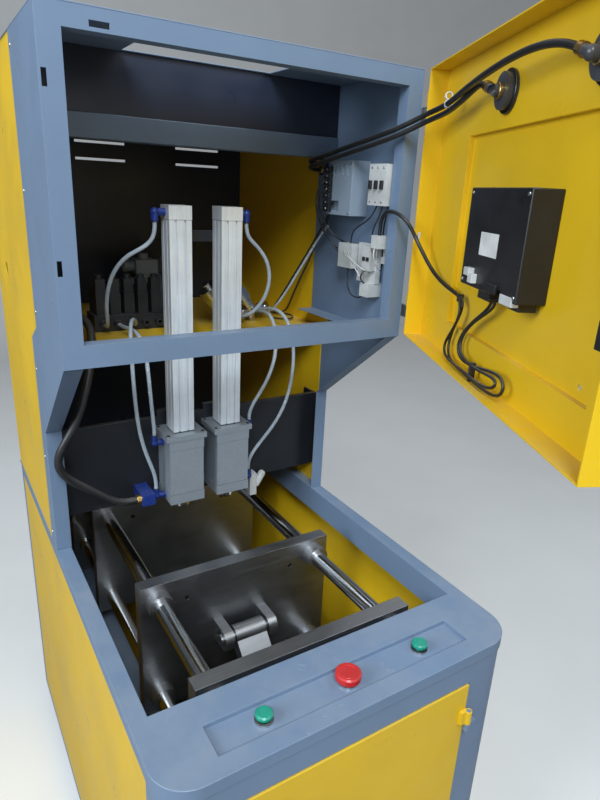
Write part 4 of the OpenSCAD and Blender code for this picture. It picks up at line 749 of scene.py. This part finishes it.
class MACHINE_OT_cylinder_fittings(bpy.types.Operator):
    """Adds screws, release rings, gaskets and rod seals to the four cylinders, and nuts to the hoses"""

    bl_idname = "machine.cylinder_fittings"
    bl_label = "Cylinder fittings"

    # Elbow fittings as (x, z, whether the tube leaves up or down), and what the screws and gaskets need
    ELBOWS = ((97, 1471, -1), (112.5, 1001, 1), (112.5, 876, 1))
    ELBOW_REACH = 15.9
    BARREL_HALF, BLOCK_HALF, GASKET_INSET = 22.8, 38, 22
    CAP_TOP, PLATE_TOP, FOOT_SEAT = BARREL_HIGH + 18.2, BARREL_LOW - 2.8, BLOCK_LOW + 4.8

    def execute(self, context):
        self.screws()
        self.hose_nuts()
        self.gaskets()
        return {"FINISHED"}

    def screws(self):
        cap, plate_x, plate_y, foot = 16.6, 38.5, 30.5, 29.5
        small, large = cap_screw(3.0), cap_screw(3.8)
        caps, plates, feet, seals, rings = [], [], [], [], []
        for cx in CAVITY_X:
            for sx, sy in ((-1, -1), (-1, 1), (1, -1), (1, 1)):
                caps.append((small, (cx + sx * cap, CAVITY_Y + sy * cap, self.CAP_TOP), UP))
                plates.append((large, (cx + sx * plate_x, CAVITY_Y + sy * plate_y, self.PLATE_TOP), UP))
                feet.append((large, (cx + sx * foot, CAVITY_Y + sy * foot, self.FOOT_SEAT), DOWN))
            seals.append((hoop(16.4, 21, 3), (cx, CAVITY_Y, BLOCK_LOW - 0.1), DOWN))
            for x, z, lift in self.ELBOWS:
                mouth = (math.copysign(x, cx), CAVITY_Y, z + lift * self.ELBOW_REACH)
                rings.append((hoop(4.3, 6.4, 2.6), mouth, (0, 0, lift)))
        turned("cap_screws", caps, "black_oxide")
        turned("adapter_screws", plates, "black_oxide")
        turned("foot_screws", feet, "black_oxide")
        turned("nozzle_wipers", seals, "hose_rubber")
        turned("release_rings", rings, "dark_ring")

    def hose_nuts(self):
        nut, union = hoop(8.3, 11.5, 9), hoop(4.7, 7.5, 7)
        nuts = [(nut, (-296.9, 190, 1263), TO_RIGHT), (nut, (-150.2, 60, 881), TO_LEFT)]
        turned("blow_hose_nuts", nuts, "brass")
        turned("hose_unions", [(union, (298.1, 100, HOSE_START_Z + dz), TO_LEFT)
                               for dz in (-HOSE_APART, HOSE_APART)], "brass")

    def gaskets(self):
        seams = []
        for cx in CAVITY_X:
            for half, z, thick in ((self.BLOCK_HALF, BLOCK_LOW + self.GASKET_INSET, 1),
                                   (self.BLOCK_HALF, BLOCK_HIGH - self.GASKET_INSET, 1),
                                   (self.BARREL_HALF, BARREL_HIGH, 1.2), (self.BARREL_HALF, BARREL_LOW + 1, 2)):
                seams.append(((cx - half, CAVITY_Y - half, z - thick / 2),
                              (cx + half, CAVITY_Y + half, z + thick / 2)))
        blocks("cylinder_gaskets", seams, "hose_rubber", 0.1)


class MACHINE_OT_wall_electrics(bpy.types.Operator):
    """Adds terminals, toggles and wiring to the electrics on the right wall, and the wires on the shelf"""

    bl_idname = "machine.wall_electrics"
    bl_label = "Electrics on the wall"

    WIRES = {
        "panel_wires_dark": ("hose_rubber", 1.5, [
            [(276, 38, 1560), (262, 44, 1556), (256, 52, 1530), (262, 56, 1490), (280, 52, 1450),
             (300, 30, 1425), (302, 0, 1420)],
            [(276, 36, 1545), (258, 44, 1542), (252, 56, 1512), (262, 62, 1470), (286, 60, 1432),
             (303, 40, 1405), (304, 8, 1400)],
            [(276, 34, 1528), (262, 42, 1524), (258, 54, 1496), (270, 58, 1456), (292, 52, 1420),
             (306, 30, 1395), (305, 9, 1388)],
            [(300, -131, 1500), (298, -131, 1484), (297, -128, 1466), (300, -124, 1452), (302, -122, 1445)],
            [(300, -114, 1500), (296, -112, 1480), (290, -104, 1458), (292, -98, 1438), (298, -96, 1422)],
            [(300, -97, 1500), (292, -92, 1476), (286, -70, 1462), (290, -40, 1450), (300, -20, 1436),
             (302, -16, 1420)],
            [(284, -94, 1373), (276, -92, 1364), (276, -92, 1356), (286, -94, 1347)],
            [(292, -90, 1322), (286, -74, 1312), (290, -40, 1316), (298, -16, 1340), (300, -16, 1370)]]),
        "panel_wires_pale": ("light_plastic", 1.3, [
            [(288, -30, 1404), (278, -44, 1398), (276, -62, 1384), (278, -78, 1368), (284, -88, 1352)],
            [(288, -12, 1404), (274, -34, 1402), (272, -60, 1392), (275, -84, 1380), (282, -98, 1374)],
            [(285, -122, 1424), (276, -128, 1416), (276, -130, 1400), (284, -128, 1386),
             (300, -124, 1376)]]),
        "shelf_wires": ("hose_rubber", 2.2, [
            [(288, 46, 1480), (300, 80, 1462), (306, 112, 1436), (300, 142, 1392), (284, 164, 1346),
             (264, 186, 1292), (250, 212, 1248), (252, 240, 1226), (272, 262, 1221), (296, 250, 1220),
             (304, 214, 1222), (290, 182, 1221), (262, 178, 1220), (244, 206, 1220)],
            [(284, 44, 1466), (296, 84, 1440), (302, 118, 1404), (298, 150, 1352), (288, 176, 1298),
             (284, 200, 1250), (292, 232, 1225), (280, 276, 1220), (248, 292, 1220), (226, 262, 1220)]]),
        "shelf_tube": ("clear_tube", 2.8, [
            [(286, 52, 1450), (296, 92, 1428), (296, 130, 1388), (280, 156, 1338), (258, 174, 1286),
             (242, 196, 1246), (232, 228, 1226), (224, 262, 1221), (214, 300, 1221)]]),
    }

    def execute(self, context):
        for name, (finish, radius, routes) in self.WIRES.items():
            for i, route in enumerate(routes):
                wire = tube(f"{name}_{i + 1}", spline(place(route), 5), radius * MM, material(finish), 8)
                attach(wire, "root")
        pitch, breaker = 13, 17.4
        strip = [((266, 26, 1482 + i * pitch), (275.5, 46, 1493 + i * pitch)) for i in range(7)]
        blocks("supply_terminals", strip, "valve_plastic", 0.5)
        toggles = [((277, -134 + i * breaker, 1530), (283, -127 + i * breaker, 1546)) for i in range(3)]
        toggles += [((283, y, 1392), (286.5, y + 8, 1400)) for y in (-104, -92)]
        blocks("breaker_toggles", toggles, "valve_plastic")
        screws = [(pan_screw(2.6), (266.2, 36, 1487.5 + i * pitch), TO_LEFT) for i in range(7)]
        screws += [(pan_screw(3), (275.1, y, z), TO_LEFT) for y in (-36, 38) for z in (1482, 1577)]
        screws += [(pan_screw(2.2), (282.1, -131.5 + i * breaker, z), TO_LEFT) for i in range(3)
                   for z in (1507, 1569)]
        turned("electrics_screws", screws, "zinc_steel", 16)
        return {"FINISHED"}


class MACHINE_OT_door_fittings(bpy.types.Operator):
    """Adds dials, rings, ties, label, connectors and screws to the upper door"""

    bl_idname = "machine.door_fittings"
    bl_label = "Door fittings"

    # Dials: the angle of the first mark and the step to the next, in degrees, and where the needle rests
    ZERO, STEP, MARKS = 225, 27, 11
    RESTING = math.radians(205)
    MARK_END, NEEDLE_TAIL, NEEDLE_TIP = 19, -4, 15

    def execute(self, context):
        self.gauges()
        self.controller()
        self.ties()
        return {"FINISHED"}

    def gauges(self):
        rings, clamps, dials, glasses, brass, marks, needles = [], [], [], [], [], [], []
        tilt = math.radians(20)
        along = (math.cos(tilt), 0, math.sin(tilt))
        for x in GAUGE_X:
            rings.append((hoop(21.2, 29.6, 3.4, 1.2), (x, SKIN_Y - 7.6, GAUGE_Z), FRONT))
            clamps.append((hoop(24.3, 28.6, 2.6, 0.8), (x, SKIN_Y + 4.9, GAUGE_Z), INWARD))
            dials.append((disc(20.8, 0.6, 0.2), (x, SKIN_Y - 4.1, GAUGE_Z), FRONT))
            glasses.append((disc(21.1, 1.0, 0.3), (x, SKIN_Y - 9.2, GAUGE_Z), FRONT))
            brass.append((hoop(4.7, 7.6, 10), (x + 15 * along[0], SKIN_Y + 27, GAUGE_Z + 15 * along[2]), along))
            brass.append((hoop(8.1, 10.5, 6), (x, SKIN_Y + 15.2, GAUGE_Z), INWARD))
            for k in range(self.MARKS):
                long = 4.5 if k % 5 == 0 else 3
                angle = math.radians(self.ZERO - self.STEP * k)
                reach = np.arange(self.MARK_END - long, self.MARK_END, 1.0)
                marks += self.row(x, angle, reach, SKIN_Y - 4.9, 0.45)
            reach = np.arange(self.NEEDLE_TAIL, self.NEEDLE_TIP, 0.9)
            needles += self.row(x, self.RESTING, reach, SKIN_Y - 5.8, 0.6)
        for name, places, finish in (
                ("gauge_rings", rings, "hard_chrome"), ("gauge_clamps", clamps, "black_oxide"),
                ("gauge_dials", dials, "white_field"), ("gauge_glasses", glasses, "clear_pane"),
                ("gauge_unions", brass, "brass")):
            turned(name, places, finish, 40, "upper_door")
        blocks("gauge_marks", marks, "valve_plastic", 0.05, "upper_door")
        blocks("gauge_needles", needles, "red_plastic", 0.05, "upper_door")

    def row(self, x, angle, reach, y, half):
        """A stroke on a dial as a row of small blocks, at those distances from the dial's middle."""
        spots = [(x + r * math.cos(angle), GAUGE_Z + r * math.sin(angle)) for r in reach]
        return [((a - half, y, b - half), (a + half, y + 0.5, b + half)) for a, b in spots]

    def controller(self):
        (x0, y0, z0), (x1, y1, z1) = CONTROLLER
        label = [((-389, y1 - 0.1, 198), (-329, y1 + 0.25, 229))]
        blocks("controller_label", label, "white_field", 0.1, "upper_door")
        sockets = [((-322, y1 - 0.2, 167), (-303, y1 + 9, 178)), ((-334, y1 - 0.2, 158), (-318, y1 + 8, 171)),
                   ((x0 + 8, y1 - 9, z0 - 5), (x0 + 44, y1 + 1.5, z0 + 7))]
        blocks("controller_sockets", sockets, "light_plastic", 0.6, "upper_door")
        plugs = [((-372, -27, z0 - 13), (-328, 2, z0 - 7)),
                 ((x0 + 10, y0 + 6, z0 - 11), (x0 + 40, y1 - 10, z0 + 1)),
                 ((x0 + 56, y1 - 0.2, z0 + 3), (x0 + 92, y1 + 4, z0 + 15))]
        plugs += [((x1 - 12, y0 + 10, z), (x1 + 0.6, y1 - 8, z + 4)) for z in z0 + 20 + 9 * np.arange(11)]
        blocks("controller_plugs", plugs, "black_plastic", 0.8, "upper_door")
        screws = [(pan_screw(2.6), (x, y1 - 0.1, z), INWARD)
                  for x in (x0 + 7, x1 - 7) for z in (z0 + 7, z1 - 7)]
        screws += [(pan_screw(2.4), (x, y0 + 20, z1 - 0.1), UP) for x in (x0 + 30, x1 - 30)]
        turned("controller_screws", screws, "zinc_steel", 20, "upper_door")
        left, right, low = x0 - 3, x1 + 3, 219
        window = [((left + 18, PRESSED_Y - 4.6, low), (right - 18, PRESSED_Y - 3.6, low + 55))]
        blocks("controller_window", window, "dark_glass", 0.2, "upper_door")
        lamps = [(disc(2.2, 1.6, 0.5), (left + 22 + 12 * i, PRESSED_Y - 5.9, low + 64), FRONT)
                 for i in range(4)]
        turned("controller_lamps", lamps, "green_plastic", 16, "upper_door")

    def ties(self):
        rings = [(hoop(4.6, 6.4, 5.5, 0.5), (-122, 12, GAUGE_Z + dz), (-1, 0.03, 0.06)) for dz in (1.0, 12.6)]
        turned("hose_ties", rings, "white_field", 20, "upper_door")
        bands = [((-216.5, -22, 112), (-212.5, -11, 124)), ((-330, -11, 11), (-325, -1, 40))]
        blocks("wire_ties", bands, "valve_plastic", 0.8, "upper_door")
        blocks("cable_clip", [((-40, 9, 196), (-33, 13, 208))], "light_plastic", 0.6, "upper_door")


class MACHINE_OT_fasteners(bpy.types.Operator):
    """Adds the screws and bolts of the sheets, hinges, upper door, end plates and feet"""

    bl_idname = "machine.fasteners"
    bl_label = "Screws and bolts"

    # Planes that the heads stand on, and the heads' places on them
    BEAM_FACE, SIDE_FACE, REAR_FACE, ROOF_FACE, HINGE_FACE, FOOT_FACE = 96.9, 324.9, 559.9, 1734.9, 338.4, 7.9
    PLATE_FACES = ((-399.7, -1), (539.7, 1))
    SIDE_SPOTS = ((40, 1710), (40, 1500), (40, 1300), (100, 1180), (100, 1000), (100, 830))
    EDGE_X, BEAM_Z = (-310, 310), 1611

    def execute(self, context):
        head, sides = pan_screw(3.2), (-1, 1)
        sheet = [(head, (s * x, self.BEAM_FACE, self.BEAM_Z), FRONT) for s in sides for x in (300, 180, 60)]
        sheet += [(head, (s * self.SIDE_FACE, y, z), (s, 0, 0)) for s in sides for y, z in self.SIDE_SPOTS]
        sheet += [(head, (x, self.REAR_FACE, z), INWARD) for x in self.EDGE_X for z in (830, 1130, 1430, 1710)]
        sheet += [(head, (x, y, self.ROOF_FACE), UP) for x in self.EDGE_X for y in (-150, 180, 540)]
        turned("sheet_screws", sheet, "zinc_steel", 20)
        hinge = [(pan_screw(2.6), (self.HINGE_FACE, y, z), TO_RIGHT)
                 for y in (-166, -150) for z in (1296, 1308, 1656, 1668)]
        turned("hinge_screws", hinge, "zinc_steel", 16)
        door = [(pan_screw(2.6), (x, PRESSED_Y + 9.1, z), FRONT) for x in (-20, -654) for z in (30, 455)]
        turned("door_screws", door, "zinc_steel", 16, "upper_door")
        clamp = [(cap_screw(7), (s * 160, y, z), (0, d, 0)) for s in sides for z in (520, 760)
                 for y, d in self.PLATE_FACES]
        turned("end_plate_bolts", clamp, "black_oxide")
        feet = [(cap_screw(6), (s * 283, y, self.FOOT_FACE), UP) for s in sides for y in (-490, -430, 430, 490)]
        turned("foot_bolts", feet, "zinc_steel")
        return {"FINISHED"}


class MACHINE_OT_button_marks(bpy.types.Operator):
    """Adds the rings and seals of the three push buttons"""

    bl_idname = "machine.button_marks"
    bl_label = "Button rings"

    def execute(self, context):
        collar_top, stop_top = 795.9, 813.1
        rings = [(hoop(r - 3, r, 1.2, 0.3), (x, BUTTON_Y, collar_top), UP)
                 for x, r in ((-150, 14.2), (0, 16.7), (150, 14.2))]
        turned("collar_seals", rings, "hose_rubber", 40)
        groove = [(hoop(12.5, 15.5, 0.7, 0.25), (0, BUTTON_Y, stop_top), UP)]
        turned("stop_button_groove", groove, "red_plastic", 40, "stop_button")
        return {"FINISHED"}


# Stage

CAMERA_MM = (-489.1, -1087.4, 1521.4)
CAMERA_YAW = math.radians(32.5)
CAMERA_PITCH = math.radians(19.1)
CAMERA_ROLL = math.radians(2.8)
LAMP_COLOUR = (0.84, 0.93, 1.0)
SKY_COLOUR = (0.92, 0.95, 1.0, 1)
SEEN_SKY = 0.9
FLOOR_CLOUD = (0.89, 0.89, 0.88, 1)
BOUNCED_FLOOR = (0.36, 0.36, 0.36, 1)


def backdrop_sheet():
    """Floor and backdrop in one sheet: flat to the front, then a quarter circle up behind. The profile is
    (y, z) along an arc of the given radius, carried along X."""
    radius, back, reach, half_width = 2.2, 4.6, 9, 11.0
    arc = np.linspace(0, math.pi / 2, 24)
    curve = np.stack([back + radius * np.sin(arc), radius - radius * np.cos(arc)], axis=-1)
    profile = np.vstack([[(-reach, 0)], curve, [(back + radius, reach)]])
    points = np.array([(x, y, z) for y, z in profile for x in (-half_width, half_width)])
    return points, grid_faces(len(profile), 2).tolist()


class MACHINE_OT_stage(bpy.types.Operator):
    """Sets up the floor, the light and the camera"""

    bl_idname = "machine.stage"
    bl_label = "Stage"

    def execute(self, context):
        scene = context.scene
        props = stage_props()
        scene.view_settings.view_transform = "Standard"
        scene.camera = self.camera(props)
        self.floor(props)
        self.world(scene, props)
        self.lamps(props)
        return {"FINISHED"}

    def camera(self, props):
        forward = Vector((math.sin(CAMERA_YAW) * math.cos(CAMERA_PITCH),
                          math.cos(CAMERA_YAW) * math.cos(CAMERA_PITCH), -math.sin(CAMERA_PITCH)))
        right = Vector((math.cos(CAMERA_YAW), -math.sin(CAMERA_YAW), 0))
        up = right.cross(forward)
        rolled_right = math.cos(CAMERA_ROLL) * right + math.sin(CAMERA_ROLL) * up
        rolled_up = -math.sin(CAMERA_ROLL) * right + math.cos(CAMERA_ROLL) * up
        data = bpy.data.cameras.new("photo_camera")
        data.sensor_width = 36
        data.lens = props.lens
        data.clip_start = 0.02
        data.clip_end = 60
        camera = bpy.data.objects.new("photo_camera", data)
        bpy.context.scene.collection.objects.link(camera)
        turn = Matrix((rolled_right, rolled_up, -forward)).transposed().to_4x4()
        camera.matrix_world = Matrix.Translation(Vector(place(CAMERA_MM))) @ turn
        return camera

    def floor(self, props):
        """Pale to the camera and grey to the light that it throws back at the machine."""
        shade, n, sockets = begin_material("pale_floor", Roughness=0.85, Specular_IOR_Level=0.1)
        cloud = n.span(n.noise(n.object_coords(), 3, 3), 0.3, 0.7)
        pale = n.mix(cloud, (*props.floor_colour, 1), FLOOR_CLOUD)
        seen = n.add("ShaderNodeLightPath").outputs["Is Camera Ray"]
        n.feed(sockets, {"Base Color": n.mix(seen, BOUNCED_FLOOR, pale)})
        points, faces = backdrop_sheet()
        mesh_object("floor_and_backdrop", points, faces, shade)

    def world(self, scene, props):
        world = bpy.data.worlds.new("soft_sky")
        scene.world = world
        world.use_nodes = True
        n = Nodes(world.node_tree)
        path = n.add("ShaderNodeLightPath").outputs
        seen = n.maths("MAXIMUM", path["Is Camera Ray"],
                       n.maths("MAXIMUM", path["Is Glossy Ray"], path["Is Transmission Ray"]))
        n.feed(world.node_tree.nodes["Background"].inputs, {
            "Color": SKY_COLOUR, "Strength": n.span(seen, 0, 1, props.sky, SEEN_SKY)})

    def lamps(self, props):
        for name, spot, aim, size, power in (
                ("key_lamp", (-1.5, -3.1, 4.2), (0, -0.2, 1.3), 1.7, props.key * 3.7),
                ("door_lamp", (-3.4, -0.7, 2.5), (0.2, -0.5, 1.5), 1.8, props.key * 2.1),
                ("top_lamp", (1.6, -1.6, 4.4), (0.1, -0.3, 1.2), 2.4, props.key)):
            data = bpy.data.lights.new(name, "AREA")
            data.shape = "SQUARE"
            data.size = size
            data.energy = power
            data.color = LAMP_COLOUR
            lamp = bpy.data.objects.new(name, data)
            lamp.location = spot
            lamp.rotation_euler = (Vector(aim) - Vector(spot)).to_track_quat("-Z", "Y").to_euler()
            bpy.context.scene.collection.objects.link(lamp)


class MACHINE_PT_panel(bpy.types.Panel):
    """Lists the machine's colours, sizes and steps"""

    bl_idname = "MACHINE_PT_panel"
    bl_label = "Blow moulding machine"
    bl_space_type = "VIEW_3D"
    bl_region_type = "UI"
    bl_category = "Machine"

    def draw(self, context):
        for group in (context.scene.machine_finish, context.scene.machine_stage):
            for key in group.__annotations__:
                self.layout.prop(group, key)
        for operator in OPERATORS:
            self.layout.operator(operator.bl_idname)


OPERATORS = (MACHINE_OT_stage, MACHINE_OT_air_tubes, MACHINE_OT_blow_hose, MACHINE_OT_door_cords,
             MACHINE_OT_carried_finishes, MACHINE_OT_folded_sheets, MACHINE_OT_cylinder_fittings,
             MACHINE_OT_wall_electrics, MACHINE_OT_door_fittings, MACHINE_OT_fasteners, MACHINE_OT_button_marks)
CLASSES = (MachineFinish, MachineStage, *OPERATORS, MACHINE_PT_panel)


def register():
    for c in CLASSES:
        bpy.utils.register_class(c)
    bpy.types.Scene.machine_finish = PointerProperty(type=MachineFinish)
    bpy.types.Scene.machine_stage = PointerProperty(type=MachineStage)


def unregister():
    del bpy.types.Scene.machine_stage
    del bpy.types.Scene.machine_finish
    for c in reversed(CLASSES):
        bpy.utils.unregister_class(c)


def main():
    register()
    for operator in OPERATORS:
        area, name = operator.bl_idname.split(".")
        getattr(getattr(bpy.ops, area), name)()


if __name__ == "__main__":
    main()
